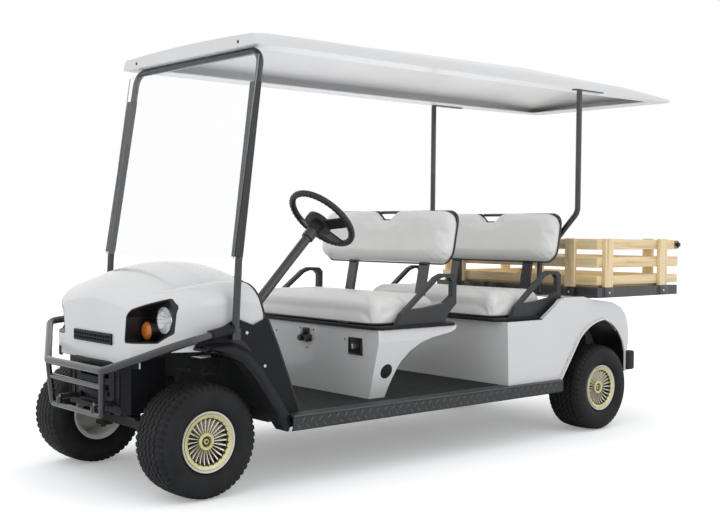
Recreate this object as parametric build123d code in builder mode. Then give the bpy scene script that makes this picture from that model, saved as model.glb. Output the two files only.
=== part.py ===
"""Four-seat utility golf cart with a wooden stake bed.

Frame: +X is the cart's left, -Y its front, +Z up, in millimetres. The origin is on the ground,
under the middle of the overall length. Stations along the cart are given as distances behind
the front axle and turned into Y by behind().
"""

from math import cos, radians, sin, tan
import os

from build123d import *

os.makedirs("parts", exist_ok=True)

# ---------------------------------------------------------------- driving dimensions
wheelbase = 2472
front_track = 888
rear_track = 983
front_axle_y = -1455.5

tyre_diameter = 457
tyre_width = 216
tyre_wall = 11
bead_radius = 101.6
rim_flange_radius = 121
rim_width = 178
rim_wall = 4
cover_band = 14
vane_count = 24
vane_thickness = 3
vane_height = 9
hub_cap_radius = 31
hub_bore_radius = 14

running_gap = 0.3          # between curved faces that seat on each other
shaft_gap = 0.05           # radial clearance of a shaft in its bore

kingpin_x = 318
kingpin_radius = 11
kingpin_height = 118
knuckle_radius = 24
knuckle_height = 60
spindle_radius = hub_bore_radius - shaft_gap
steering_arm_length = 110

floor_height = 300
floor_thickness = 8
floor_half_width = 520
sill_half_width = 592
sill_height = 66
body_wall = 5

seat_pitch = 793           # the rear bench stands this far behind the front bench
seat_front = 905
seat_deck_height = 615
tray_thickness = 15
tray_top = seat_deck_height + tray_thickness
seat_half_width = 478
cushion_depth = 440
cushion_height = 130

tube_radius = 15           # roof struts
guard_radius = 16          # brush guard tube

roof_half_width = 545
roof_front = 215
roof_rear = 3228
roof_edge_height = 1800
roof_rear_rise = 26

bed_front = 2410
bed_rear = 3172
bed_half_width = 596
bed_rail_bottom = 712
bed_rail_height = 54
bed_rail_wall = 4
slat_thickness = 20
stake_thickness = 24
# slat bottom and top heights of the stake sides
slat_levels = ((778, 828), (872, 928), (970, 1023))


def behind(distance):
    """Y of a station that lies this far behind the front axle."""
    return front_axle_y + distance


def cross_plane(y):
    """Plane across the cart at y, whose sketch coordinates are X and Z."""
    return Plane(origin=(0, y, 0), x_dir=(1, 0, 0), z_dir=(0, -1, 0))


def side_plane(x):
    """Plane along the cart at x, whose sketch coordinates are Y and Z."""
    return Plane.YZ.offset(x)


def add_tube(points, bend, radius, wall=0):
    """Sweep a round tube, or a bar when wall is 0, along straight runs with rounded bends."""
    with BuildLine() as path:
        if len(points) > 2:
            FilletPolyline(*points, radius=bend)
        else:
            Line(*points)
    with BuildSketch(Plane(origin=path.line @ 0, z_dir=path.line % 0)) as section:
        Circle(radius)
        if wall:
            Circle(radius - wall, mode=Mode.SUBTRACT)
    sweep(sections=section.sketch, path=path.line)


def add_side_prism(outline, x_low, x_high, mode=Mode.ADD):
    """Extrude a closed outline of (distance behind the front axle, height) from x_low to x_high."""
    with BuildSketch(side_plane(x_low)) as section:
        with BuildLine():
            Polyline(*[(behind(d), z) for d, z in outline], close=True)
        make_face()
    extrude(to_extrude=section.sketch, amount=x_high - x_low, dir=(1, 0, 0), mode=mode)


def add_block(x_low, x_high, d_low, d_high, z_low, z_high, mode=Mode.ADD):
    """Box between two X values, two distances behind the front axle and two heights."""
    with Locations(((x_low + x_high) / 2, behind((d_low + d_high) / 2), (z_low + z_high) / 2)):
        Box(x_high - x_low, d_high - d_low, z_high - z_low, mode=mode)


# ---------------------------------------------------------------- wheels
tyre_radius = tyre_diameter / 2
axle_height = tyre_radius
# name, X of the wheel's middle plane, distance behind the front axle, side of its outer face
wheel_table = (
    ("front_left", front_track / 2, 0, 1),
    ("front_right", -front_track / 2, 0, -1),
    ("rear_left", rear_track / 2, wheelbase, 1),
    ("rear_right", -rear_track / 2, wheelbase, -1),
)
half_tread = tyre_width / 2 - 16
half_crown = half_tread - 24
half_bead = rim_width / 2 - rim_wall - running_gap
bead_top = rim_flange_radius + 2
belly_radius = (bead_radius + tyre_radius) / 2 + 6   # where the side wall bulges most
shoulder_radius = tyre_radius - 13
liner_radius = shoulder_radius - tyre_wall
disc_offset = 34           # the disc lies this far outboard of the wheel's middle plane
disc_thickness = 5
cover_plate = disc_offset + disc_thickness
cover_face = 78            # outboard face of the cover's band

for place, wheel_x, wheel_d, outward in wheel_table:
    wheel_plane = Plane(
        origin=(wheel_x, behind(wheel_d), axle_height), x_dir=(outward, 0, 0), z_dir=(0, -outward, 0)
    )
    spin_axis = Axis((wheel_x, behind(wheel_d), axle_height), (1, 0, 0))
    with BuildPart() as tyre:
        with BuildSketch(wheel_plane):
            with BuildLine():
                Polyline(
                    (half_bead, bead_radius),
                    (half_bead, bead_top),
                    (tyre_width / 2, belly_radius),
                    (half_tread, shoulder_radius),
                    (half_crown, tyre_radius),
                    (-half_crown, tyre_radius),
                    (-half_tread, shoulder_radius),
                    (-tyre_width / 2, belly_radius),
                    (-half_bead, bead_top),
                    (-half_bead, bead_radius),
                    (tyre_wall - half_bead, bead_radius),
                    (tyre_wall - tyre_width / 2, belly_radius),
                    (tyre_wall - half_tread, liner_radius),
                    (half_tread - tyre_wall, liner_radius),
                    (tyre_width / 2 - tyre_wall, belly_radius),
                    (half_bead - tyre_wall, bead_radius),
                    close=True,
                )
            make_face()
        revolve(axis=spin_axis)
    tyre.part.label = f"tyre_{place}"
    export_step(tyre.part, f"parts/tyre_{place}.step")

    seat_radius = bead_radius - running_gap
    barrel_radius = seat_radius - rim_wall
    with BuildPart() as rim:
        with BuildSketch(wheel_plane):
            with BuildLine():
                Polyline(
                    (rim_width / 2, rim_flange_radius),
                    (rim_width / 2 + 6, rim_flange_radius - 2),
                    (rim_width / 2, rim_flange_radius - 6),
                    (rim_width / 2, barrel_radius),
                    (cover_plate, barrel_radius),
                    (cover_plate, hub_bore_radius),
                    (disc_offset, hub_bore_radius),
                    (disc_offset, barrel_radius),
                    (-rim_width / 2, barrel_radius),
                    (-rim_width / 2, rim_flange_radius - 6),
                    (-rim_width / 2 - 6, rim_flange_radius - 2),
                    (-rim_width / 2, rim_flange_radius),
                    (rim_wall - rim_width / 2, rim_flange_radius - 1),
                    (rim_wall - rim_width / 2, seat_radius),
                    (rim_width / 2 - rim_wall, seat_radius),
                    (rim_width / 2 - rim_wall, rim_flange_radius - 1),
                    close=True,
                )
            make_face()
        revolve(axis=spin_axis)
        # turbine cover: outer band, hub cap and thin radial vanes standing on the disc
        with BuildSketch(wheel_plane):
            with BuildLine():
                Polyline(
                    (cover_plate, barrel_radius),
                    (cover_face - 6, barrel_radius),
                    (cover_face, barrel_radius - 2),
                    (cover_face, barrel_radius - cover_band + 2),
                    (cover_face - 4, barrel_radius - cover_band),
                    (cover_plate, barrel_radius - cover_band),
                    close=True,
                )
            make_face()
            with BuildLine():
                Polyline(
                    (cover_plate, hub_bore_radius),
                    (cover_plate, hub_cap_radius),
                    (cover_face - 8, hub_cap_radius),
                    (cover_face - 4, hub_cap_radius - 5),
                    (cover_face - 4, hub_bore_radius + 5),
                    (cover_face + 4, hub_bore_radius + 2),
                    (cover_face + 4, 0),
                    (cover_face - 10, 0),
                    (cover_face - 10, hub_bore_radius),
                    close=True,
                )
            make_face()
        revolve(axis=spin_axis)
        vane_plane = Plane(
            origin=(wheel_x + outward * cover_plate, behind(wheel_d), axle_height),
            x_dir=(0, 1, 0),
            z_dir=(outward, 0, 0),
        )
        with BuildSketch(vane_plane):
            with PolarLocations((hub_cap_radius + barrel_radius - cover_band) / 2, vane_count):
                Rectangle(barrel_radius - cover_band - hub_cap_radius + 2, vane_thickness)
        extrude(amount=cover_face - cover_plate - vane_height)
    rim.part.label = f"wheel_rim_{place}"
    export_step(rim.part, f"parts/wheel_rim_{place}.step")

# ---------------------------------------------------------------- front axle, knuckles and steering
yoke_gap = 0.3
yoke_thickness = 14
for side_name, side in (("left", 1), ("right", -1)):
    pin_x = side * kingpin_x
    spindle_end = side * (front_track / 2 + cover_face - 12)
    with BuildPart() as knuckle:
        with Locations((pin_x, behind(0), axle_height)):
            Cylinder(knuckle_radius, knuckle_height)
            Cylinder(kingpin_radius, kingpin_height)
        with BuildSketch(side_plane(pin_x)):
            with Locations((behind(0), axle_height)):
                Circle(spindle_radius + 6)
        extrude(amount=front_track / 2 + disc_offset - 6 - kingpin_x, dir=(side, 0, 0))
        with BuildSketch(side_plane(pin_x)):
            with Locations((behind(0), axle_height)):
                Circle(spindle_radius)
        extrude(amount=abs(spindle_end) - kingpin_x, dir=(side, 0, 0))
        # steering arm, swept back and inward from the knuckle
        add_tube(
            [
                (pin_x, behind(8), axle_height - 16),
                (pin_x - side * 12, behind(steering_arm_length), axle_height - 16),
            ],
            0,
            10,
        )
    knuckle.part.label = f"knuckle_{side_name}"
    export_step(knuckle.part, f"parts/knuckle_{side_name}.step")

with BuildPart() as front_axle:
    with Locations((0, behind(0), axle_height)):
        Box(2 * (kingpin_x - knuckle_radius - 16), 46, 40)
    for side in (1, -1):
        yoke_middle = side * (kingpin_x - 4)
        for level in (1, -1):
            yoke_z = axle_height + level * (knuckle_height / 2 + yoke_gap + yoke_thickness / 2)
            with Locations((yoke_middle, behind(0), yoke_z)):
                Box(52, 46, yoke_thickness)
        with Locations((side * (kingpin_x - knuckle_radius - 12), behind(0), axle_height)):
            Box(18, 46, knuckle_height + 2 * (yoke_thickness + yoke_gap))
        with Locations((side * kingpin_x, behind(0), axle_height)):
            Cylinder(kingpin_radius + shaft_gap, kingpin_height + 20, mode=Mode.SUBTRACT)
            Cylinder(knuckle_radius + 3, knuckle_height + 2 * yoke_gap, mode=Mode.SUBTRACT)
front_axle.part.label = "front_axle"
export_step(front_axle.part, "parts/front_axle.step")

tie_rod_gap = 0.3
tie_rod_height = axle_height - 16 - 10 - tie_rod_gap - 8
arm_tip_x = kingpin_x - 12
with BuildPart() as tie_rod:
    add_tube(
        [
            (-arm_tip_x, behind(steering_arm_length - 14), tie_rod_height),
            (arm_tip_x, behind(steering_arm_length - 14), tie_rod_height),
        ],
        0,
        8,
    )
tie_rod.part.label = "tie_rod"
export_step(tie_rod.part, "parts/tie_rod.step")

column_x = 300
wheel_ring_radius = 172
grip_radius = 14
spoke_root = 40
hub_pad_radius = 62
ring_d = 753
ring_height = 1111
column_angle = 45.8        # climb of the steering column from the horizontal
hub_drop = 42              # the hub sits this far below the ring's plane
column_radius = 21
column_length = 800
gear_case_height = 466      # underside of the steering gear case, above the front tyres
column_plane = Plane(
    origin=(column_x, behind(ring_d), ring_height),
    x_dir=(1, 0, 0),
    z_dir=(0, cos(radians(column_angle)), sin(radians(column_angle))),
)


def spoke_plane(turn, radius, lift):
    """Plane square to a spoke, at this radius from the column and this lift along it."""
    run = column_plane.x_dir * cos(radians(turn)) + column_plane.y_dir * sin(radians(turn))
    foot = column_plane.origin + run * radius + column_plane.z_dir * lift
    return Plane(origin=foot, x_dir=column_plane.z_dir.cross(run), z_dir=run)


with BuildPart() as steering_wheel:
    with Locations(column_plane.location):
        Torus(wheel_ring_radius - grip_radius, grip_radius)
    with BuildSketch(column_plane.offset(-hub_drop)):
        Circle(hub_pad_radius)
    extrude(amount=26)
    with BuildSketch(column_plane.offset(-hub_drop - 34)):
        Circle(30)
    extrude(amount=35)
    # two spokes across and a wider one towards the driver
    for spoke_turn, spoke_width in ((8, 58), (172, 58), (90, 70)):
        with BuildSketch(spoke_plane(spoke_turn, spoke_root, 8 - hub_drop)) as inner:
            RectangleRounded(spoke_width, 12, 4)
        with BuildSketch(spoke_plane(spoke_turn, wheel_ring_radius - grip_radius, -2)) as outer:
            RectangleRounded(spoke_width, 9, 3)
        loft(sections=[inner.sketch, outer.sketch])
steering_wheel.part.label = "steering_wheel"
export_step(steering_wheel.part, "parts/steering_wheel.step")

column_top = -hub_drop - 34 - running_gap
with BuildPart() as steering_column:
    with BuildSketch(column_plane.offset(column_top)):
        Circle(column_radius)
    extrude(amount=-column_length)
    with BuildSketch(column_plane.offset(column_top)):
        Circle(column_radius + 7)
    extrude(amount=-46)
    # steering gear case at the foot of the column
    add_block(column_x - 37, column_x + 37, 88, 178, gear_case_height, gear_case_height + 66)
steering_column.part.label = "steering_column"
export_step(steering_column.part, "parts/steering_column.step")

# ---------------------------------------------------------------- chassis
floor_bottom = floor_height - floor_thickness
rail_bottom = 225
front_rail_x = (125, 175)
main_rail_x = (255, 305)
rear_rail_bottom = 420
rear_rail_top = 475
front_rail_bottom = 338
front_rail_top = 392
front_rail_end = -190
with BuildPart() as chassis_frame:
    for side in (1, -1):
        low, high = sorted((side * front_rail_x[0], side * front_rail_x[1]))
        add_side_prism(
            (
                (front_rail_end, front_rail_bottom), (front_rail_end, front_rail_top), (262, front_rail_top),
                (410, floor_bottom), (520, floor_bottom), (520, rail_bottom), (372, rail_bottom),
                (232, front_rail_bottom),
            ),
            low,
            high,
        )
        low, high = sorted((side * main_rail_x[0], side * main_rail_x[1]))
        add_side_prism(
            (
                (455, rail_bottom), (455, floor_bottom), (1890, floor_bottom), (2105, rear_rail_top),
                (2700, rear_rail_top), (2700, rear_rail_bottom), (2140, rear_rail_bottom), (1925, rail_bottom),
            ),
            low,
            high,
        )
    add_block(-front_rail_x[1], front_rail_x[1], front_rail_end, front_rail_end + 50, 338, 392)
    for cross_d in (455, 1080, 1700):
        add_block(-main_rail_x[1], main_rail_x[1], cross_d, cross_d + 60, rail_bottom, floor_bottom)
    add_block(-main_rail_x[1], main_rail_x[1], 2650, 2700, rear_rail_bottom, rear_rail_top)
    # outriggers under the steps, and the engine cradle
    for out_d in (560, 1300, 1820):
        add_block(-sill_half_width + 20, sill_half_width - 20, out_d, out_d + 40, 250, floor_bottom)
    add_block(-main_rail_x[1], main_rail_x[1], 1880, 2330, floor_bottom - 12, floor_bottom)
    for side in (1, -1):
        low, high = sorted((side * (main_rail_x[0] - 20), side * main_rail_x[0]))
        add_block(low, high, 2280, 2330, floor_bottom - 12, rear_rail_top)
    # post and shelf that carry the steering gear case
    add_block(front_rail_x[0], front_rail_x[1], 96, 160, front_rail_top, gear_case_height)
    add_block(front_rail_x[0], column_x + 37, 96, 160, gear_case_height - 6, gear_case_height)
chassis_frame.part.label = "chassis_frame"
export_step(chassis_frame.part, "parts/chassis_frame.step")

# leaf springs: X range, distance of the axle, spring seat height, hanger height, half length
spring_table = (
    (front_rail_x, 0, axle_height + 20, front_rail_bottom, 178),
    (main_rail_x, wheelbase, axle_height + 32, rear_rail_bottom, 205),
)
leaf = 7
with BuildPart() as leaf_springs:
    for (x_low, x_high), axle_d, seat_z, hanger_z, half_length in spring_table:
        eye_z = seat_z + 48
        for side in (1, -1):
            low, high = sorted((side * x_low, side * x_high))
            with BuildSketch(side_plane(low)) as leaf_pack:
                for step, share in ((0, 1), (1, 0.68), (2, 0.4)):
                    reach = half_length * share
                    rise = 48 * share**2
                    start = seat_z + 2 * leaf - step * leaf
                    with BuildLine():
                        ThreePointArc(
                            (behind(axle_d - reach), start + rise),
                            (behind(axle_d), start),
                            (behind(axle_d + reach), start + rise),
                        )
                        Line(
                            (behind(axle_d + reach), start + rise),
                            (behind(axle_d + reach), start + rise + leaf),
                        )
                        ThreePointArc(
                            (behind(axle_d + reach), start + rise + leaf),
                            (behind(axle_d), start + leaf),
                            (behind(axle_d - reach), start + rise + leaf),
                        )
                        Line(
                            (behind(axle_d - reach), start + rise + leaf),
                            (behind(axle_d - reach), start + rise),
                        )
                    make_face()
                for end in (-1, 1):
                    with Locations((behind(axle_d + end * half_length), seat_z + 2 * leaf + 48 + leaf / 2)):
                        Circle(13)
            extrude(to_extrude=leaf_pack.sketch, amount=high - low, dir=(1, 0, 0))
            # shackles from the spring eyes to the rail
            for end in (-1, 1):
                shackle_d = axle_d + end * half_length
                add_block(low, high, shackle_d - 9, shackle_d + 9, eye_z + 12, hanger_z)
leaf_springs.part.label = "leaf_springs"
export_step(leaf_springs.part, "parts/leaf_springs.step")

drum_radius = 82
hub_face = disc_offset - running_gap
with BuildPart() as rear_axle:
    axle_line = (0, behind(wheelbase), axle_height)
    with BuildSketch(Plane.YZ):
        with Locations(axle_line[1:]):
            Circle(32)
    extrude(amount=rear_track / 2 - 60, both=True)
    with BuildSketch(Plane.YZ):
        with Locations(axle_line[1:]):
            Circle(spindle_radius)
    extrude(amount=rear_track / 2 + cover_face - 12, both=True)
    with BuildSketch(Plane.YZ):
        with Locations(axle_line[1:]):
            Circle(96)
    extrude(amount=62, both=True)
    for side in (1, -1):
        with BuildSketch(side_plane(side * (rear_track / 2 - 60))) as drum:
            with Locations(axle_line[1:]):
                Circle(drum_radius)
        extrude(to_extrude=drum.sketch, amount=60 + hub_face - 4, dir=(side, 0, 0))
rear_axle.part.label = "rear_axle"
export_step(rear_axle.part, "parts/rear_axle.step")

with BuildPart() as engine:
    add_block(-165, 165, 1960, 2270, floor_bottom, floor_bottom + 250)
    fillet(engine.edges().filter_by(Axis.Z), 30)
engine.part.label = "engine"
export_step(engine.part, "parts/engine.step")

# ---------------------------------------------------------------- floor, steps and aprons
toe_half_width = 470
toe_foot = (420, floor_height)   # rear face of the sloping toe board
toe_head = (290, 570)
pod_bottom_front = 1735    # foot of the rear body
with BuildPart() as floor_panel:
    add_side_prism(
        ((470, floor_bottom), (470, floor_height), (pod_bottom_front + 14, floor_height),
         (pod_bottom_front + 14, floor_bottom)),
        -floor_half_width,
        floor_half_width,
    )
    add_side_prism(
        ((470, floor_bottom), (412, floor_bottom), (282, 566), toe_head, toe_foot,
         (470, floor_height)),
        -toe_half_width,
        toe_half_width,
    )
    with BuildSketch(column_plane.offset(-400)):
        Circle(column_radius + 4)
    extrude(amount=-400, mode=Mode.SUBTRACT)
floor_panel.part.label = "floor_panel"
export_step(floor_panel.part, "parts/floor_panel.step")

sill_front = 372
sill_rear = 2135
with BuildPart() as sill_covers:
    for side in (1, -1):
        with BuildSketch(cross_plane(behind(sill_front))) as sill_section:
            with BuildLine():
                Polyline(
                    (side * (floor_half_width + running_gap), floor_height),
                    (side * (sill_half_width - 8), floor_height),
                    (side * sill_half_width, floor_height - 8),
                    (side * sill_half_width, floor_height - sill_height + 8),
                    (side * (sill_half_width - 12), floor_height - sill_height),
                    (side * (sill_half_width - 12), floor_height - sill_height + 6),
                    (side * (sill_half_width - 6), floor_height - sill_height + 11),
                    (side * (sill_half_width - 6), floor_bottom - 6),
                    (side * (sill_half_width - 12), floor_bottom),
                    (side * (floor_half_width + running_gap), floor_bottom),
                    close=True,
                )
            make_face()
        extrude(to_extrude=sill_section.sketch, amount=sill_rear - sill_front, dir=(0, 1, 0))
sill_covers.part.label = "sill_covers"
export_step(sill_covers.part, "parts/sill_covers.step")

# ---------------------------------------------------------------- front cowl, apron and fascia
cowl_half_width = 497
cowl_side_bottom = 577
# moulded cowl, front to back: distance, half width, bottom, shoulder height, crown height, corner radius
cowl_sections = (
    (-214, 306, 520, 744, 770, 66),
    (-180, 374, 507, 778, 808, 84),
    (-105, 438, 505, 808, 856, 88),
    (110, 486, 505, 846, 918, 84),
    (292, cowl_half_width, 505, 826, 902, 70),
)
cowl_front = -cowl_sections[0][0]


# lamps on each side of the nose: node, X, distance of the lens's front, height, radius
lamp_table = (
    ("headlamp_lenses", 382, -112, 699, 53),
    ("turn_lenses", 302, -146, 654, 36),
)
lamp_floor = -106          # distance of the face that the lamps stand in
lamp_rear = -84
lens_length = 24
boss_wall = 4
# leaf-shaped mouth of the lamp pocket on the left: X, height
lamp_mouth = ((254, 605), (268, 712), (298, 742), (416, 788), (446, 756), (441, 650), (404, 611))


def add_mouth(side, inset, d_low, d_high, mode):
    """Prism of the lamp pocket's mouth on one side, drawn inset, between two distances."""
    with BuildSketch(cross_plane(behind(d_high))) as mouth:
        with BuildLine():
            Polyline(*[(side * x, z) for x, z in lamp_mouth], close=True)
        make_face()
        fillet(mouth.vertices(), 12)
        if inset:
            offset(amount=-inset)
    extrude(to_extrude=mouth.sketch, amount=d_high - d_low, mode=mode)


def add_lamp_bar(side, x, height, radius, d_low, d_high, mode=Mode.ADD):
    """Round bar facing forward, for a lens, its boss or its hole."""
    with BuildSketch(cross_plane(behind(d_high))) as bar:
        with Locations((side * x, height)):
            Circle(radius)
    extrude(to_extrude=bar.sketch, amount=d_high - d_low, mode=mode)


def cowl_outline(distance, half_width, bottom, shoulder, crown, corner, inset=0):
    """Closed cowl section across the cart, drawn inset by a wall thickness when asked."""
    half = half_width - inset
    low = bottom if inset == 0 else bottom - 60
    corner = corner - inset / 2
    top = crown - inset
    edge = shoulder - inset
    with BuildSketch(cross_plane(behind(distance + inset))) as section:
        with BuildLine():
            Line((-half, low), (half, low))
            Line((half, low), (half, edge - corner))
            ThreePointArc(
                (half, edge - corner),
                (half - corner * (1 - cos(radians(45))), edge - corner * (1 - sin(radians(45)))),
                (half - corner, edge),
            )
            ThreePointArc((half - corner, edge), (0, top), (corner - half, edge))
            ThreePointArc(
                (corner - half, edge),
                (corner * (1 - cos(radians(45))) - half, edge - corner * (1 - sin(radians(45)))),
                (-half, edge - corner),
            )
            Line((-half, edge - corner), (-half, low))
        make_face()
    return section.sketch


cowl_rear_top = 218
cowl_rear_low = 300
with BuildPart() as front_cowl:
    loft(sections=[cowl_outline(*row) for row in cowl_sections])
    loft(sections=[cowl_outline(*row, inset=body_wall) for row in cowl_sections], mode=Mode.SUBTRACT)
    # open the back along the line of the dash
    add_side_prism(
        ((cowl_rear_top, 960), (252, 846), (cowl_rear_low, 690), (cowl_rear_low, 400), (420, 400), (420, 960)),
        -600,
        600,
        mode=Mode.SUBTRACT,
    )
    # raise the lower edge over the wheels
    add_side_prism(
        ((-196, 400), (-196, 548), (-176, cowl_side_bottom), (60, cowl_side_bottom), (140, 680), (400, 660),
         (400, 400)),
        -600,
        600,
        mode=Mode.SUBTRACT,
    )
    for side in (1, -1):
        add_mouth(side, 0, -300, lamp_rear, Mode.SUBTRACT)
front_cowl.part.label = "front_cowl"
export_step(front_cowl.part, "parts/front_cowl.step")

apron_x = cowl_half_width + 0.5
apron_thickness = 6
apron_lip = 584
# outer edge of the wheel arch in the apron: distance, height
apron_arch = ((-52, 588), (42, 577), (127, 543), (200, 466), (250, 393), (301, 307), (352, 236))
apron_back = ((462, 236), (478, 262), (458, 330), (408, 457), (355, 585), (300, 700), (232, 672), (150, 704),
              (-40, 612))
with BuildPart() as front_aprons:
    for side in (1, -1):
        low, high = sorted((side * apron_x, side * (apron_x + apron_thickness)))
        add_side_prism(apron_arch + apron_back, low, high)
        # arch flare: the same edge drawn again a little higher closes a band that stands outward
        flare = tuple((d + 7, z + 9) for d, z in reversed(apron_arch))
        low, high = sorted((side * apron_x, side * apron_lip))
        add_side_prism(apron_arch + flare, low, high)
        # door-side edge returns inward towards the toe board
        low, high = sorted((side * (toe_half_width + 4), side * apron_x))
        add_side_prism(
            ((462, 300), (455, 300), (405, 450), (352, 578), (302, 684), (308, 688), (358, 582), (411, 454)), low, high
        )
front_aprons.part.label = "front_aprons"
export_step(front_aprons.part, "parts/front_aprons.step")

guard_end_x = apron_x + apron_thickness + guard_radius + running_gap
guard_leg = (150, 352)     # X and height of the legs that reach back to the chassis
guard_leg_radius = 12
fascia_bottom = 315
fascia_top = 530
fascia_front = -cowl_front + body_wall + running_gap
fascia_wall = 5
fascia_half = 250
with BuildPart() as front_fascia:
    with BuildSketch(Plane.XY.offset(fascia_bottom)):
        with BuildLine():
            Polyline(
                (-fascia_half + 40, behind(0)), (-fascia_half, behind(-180)), (-fascia_half + 30, behind(fascia_front)),
                (fascia_half - 30, behind(fascia_front)), (fascia_half, behind(-180)), (fascia_half - 40, behind(0)),
                (fascia_half - 45, behind(0)), (fascia_half - 5, behind(-178)),
                (fascia_half - 32, behind(fascia_front + fascia_wall)),
                (-fascia_half + 32, behind(fascia_front + fascia_wall)),
                (-fascia_half + 5, behind(-178)), (-fascia_half + 45, behind(0)),
                close=True,
            )
        make_face()
    extrude(amount=fascia_top - fascia_bottom)
    for slot_z in (352, 400, 448):
        add_block(-120, 120, -230, -195, slot_z, slot_z + 22, mode=Mode.SUBTRACT)
    with BuildSketch(cross_plane(behind(-195))):
        with Locations(guard_leg, (-guard_leg[0], guard_leg[1])):
            Circle(guard_leg_radius + running_gap)
    extrude(amount=30, mode=Mode.SUBTRACT)
front_fascia.part.label = "front_fascia"
export_step(front_fascia.part, "parts/front_fascia.step")

with BuildPart() as nose_grille:
    add_block(-160, 160, -222, -214 - running_gap, 590, 634)
    for column in range(14):
        bar_x = -143 + 22 * column
        for bar_z in (600, 615):
            add_block(bar_x - 8, bar_x + 8, -224, -217, bar_z, bar_z + 9, mode=Mode.SUBTRACT)
nose_grille.part.label = "nose_grille"
export_step(nose_grille.part, "parts/nose_grille.step")

with BuildPart() as brush_guard:
    upper = [
        (guard_end_x, behind(105), 660), (586, behind(-126), 632), (238, behind(-301), 499),
    ]
    mirrored = [(-x, y, z) for x, y, z in reversed(upper)]
    add_tube(upper + mirrored, 45, guard_radius)
    add_tube([(-222, behind(-292), 432), (222, behind(-292), 432)], 0, guard_radius - 4)
    add_tube(
        [
            (-236, behind(-301), 499), (-214, behind(-290), 318),
            (214, behind(-290), 318), (236, behind(-301), 499),
        ],
        20,
        guard_radius - 4,
    )
    # legs back to the chassis, on short stubs that stand on the lowest bar
    for side in (1, -1):
        leg_x = side * guard_leg[0]
        add_tube([(leg_x, behind(-291), 318), (leg_x, behind(-291), guard_leg[1])], 0, guard_leg_radius)
        leg_ends = [(leg_x, behind(-291), guard_leg[1]), (leg_x, behind(front_rail_end), guard_leg[1])]
        add_tube(leg_ends, 0, guard_leg_radius)
brush_guard.part.label = "brush_guard"
export_step(brush_guard.part, "parts/brush_guard.step")

mouth_wall = 5
with BuildPart() as lamp_bezels:
    for side in (1, -1):
        add_mouth(side, running_gap, -300, lamp_rear - running_gap, Mode.ADD)
    with BuildPart(mode=Mode.INTERSECT):
        loft(sections=[cowl_outline(*row) for row in cowl_sections])
    for side in (1, -1):
        add_mouth(side, running_gap + mouth_wall, -300, lamp_floor, Mode.SUBTRACT)
        for node, x, distance, height, radius in lamp_table:
            if distance < lamp_floor - lens_length:
                add_lamp_bar(side, x, height, radius + boss_wall, distance + 6, lamp_floor)
        for node, x, distance, height, radius in lamp_table:
            add_lamp_bar(side, x, height, radius + running_gap, distance - 6, lamp_rear, Mode.SUBTRACT)
lamp_bezels.part.label = "lamp_bezels"
export_step(lamp_bezels.part, "parts/lamp_bezels.step")

for node, x, distance, height, radius in lamp_table:
    with BuildPart() as lenses:
        for side in (1, -1):
            add_lamp_bar(side, x, height, radius, distance, distance + lens_length)
        chamfer(lenses.faces().sort_by(Axis.Y)[0:2].edges(), 4)
    lenses.part.label = node
    export_step(lenses.part, f"parts/{node}.step")

dash_bottom = 596
with BuildPart() as dash_panel:
    loft(sections=[cowl_outline(*row, inset=body_wall + running_gap) for row in cowl_sections])
    with BuildSketch(Plane.YZ):
        with BuildLine():
            Polyline(
                *[(behind(d), z) for d, z in (
                    (208, 950), (242, 846), (286, 690), (286, dash_bottom), (300, dash_bottom), (300, 690),
                    (255, 846), (222, 950),
                )],
                close=True,
            )
        make_face()
    extrude(amount=600, both=True, mode=Mode.INTERSECT)
    with BuildSketch(column_plane.offset(-350)):
        Circle(column_radius + 3)
    extrude(amount=-450, mode=Mode.SUBTRACT)
dash_panel.part.label = "dash_panel"
export_step(dash_panel.part, "parts/dash_panel.step")

# pedals stand on the toe board: X, width and height of the pad
pedal_height = 440
pedal_reach = 40
toe_slope = (toe_foot[0] - toe_head[0]) / (toe_head[1] - toe_foot[1])
with BuildPart() as pedals:
    for pedal_x, pad_width, pad_height in ((215, 96, 78), (345, 62, 150)):
        pedal_plane = Plane(
            origin=(pedal_x, behind(toe_head[0] + (toe_head[1] - pedal_height) * toe_slope), pedal_height),
            x_dir=(1, 0, 0),
            z_dir=(0, 1, toe_slope),
        )
        with BuildSketch(pedal_plane.offset(pedal_reach)) as pad:
            RectangleRounded(pad_width, pad_height, 10)
        extrude(to_extrude=pad.sketch, amount=8)
        with BuildSketch(pedal_plane) as arm:
            Circle(9)
        extrude(to_extrude=arm.sketch, amount=pedal_reach)
pedals.part.label = "pedals"
export_step(pedals.part, "parts/pedals.step")

# ---------------------------------------------------------------- roof, its struts and the windshield
strut_x = apron_x + apron_thickness + tube_radius + running_gap
strut_top_x = 492          # the hoop leans inward to its top
hoop_top = roof_edge_height - tube_radius + 0.5
hoop_knee = (146, 930)     # distance and height where the hoop's legs bend back
hoop_head_d = 270
foot_d = 133
strut_slope = (hoop_head_d - hoop_knee[0]) / (hoop_top - hoop_knee[1])
glass_half_width = 515
glass_thickness = 5
strip_wall = 6
strip_levels = (950, 1655)


def strut_at(height):
    """X, and distance behind the front axle, of the leaning hoop's left leg at a height."""
    share = (height - hoop_knee[1]) / (hoop_top - hoop_knee[1])
    return strut_x + share * (strut_top_x - strut_x), hoop_knee[0] + share * (hoop_head_d - hoop_knee[0])


def glass_back_at(height):
    """Distance of the glass's rear face at a height, one strip wall in front of the leg."""
    return strut_at(height)[1] - (tube_radius + strip_wall + 2 * running_gap) * (1 + strut_slope**2) ** 0.5


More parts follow.
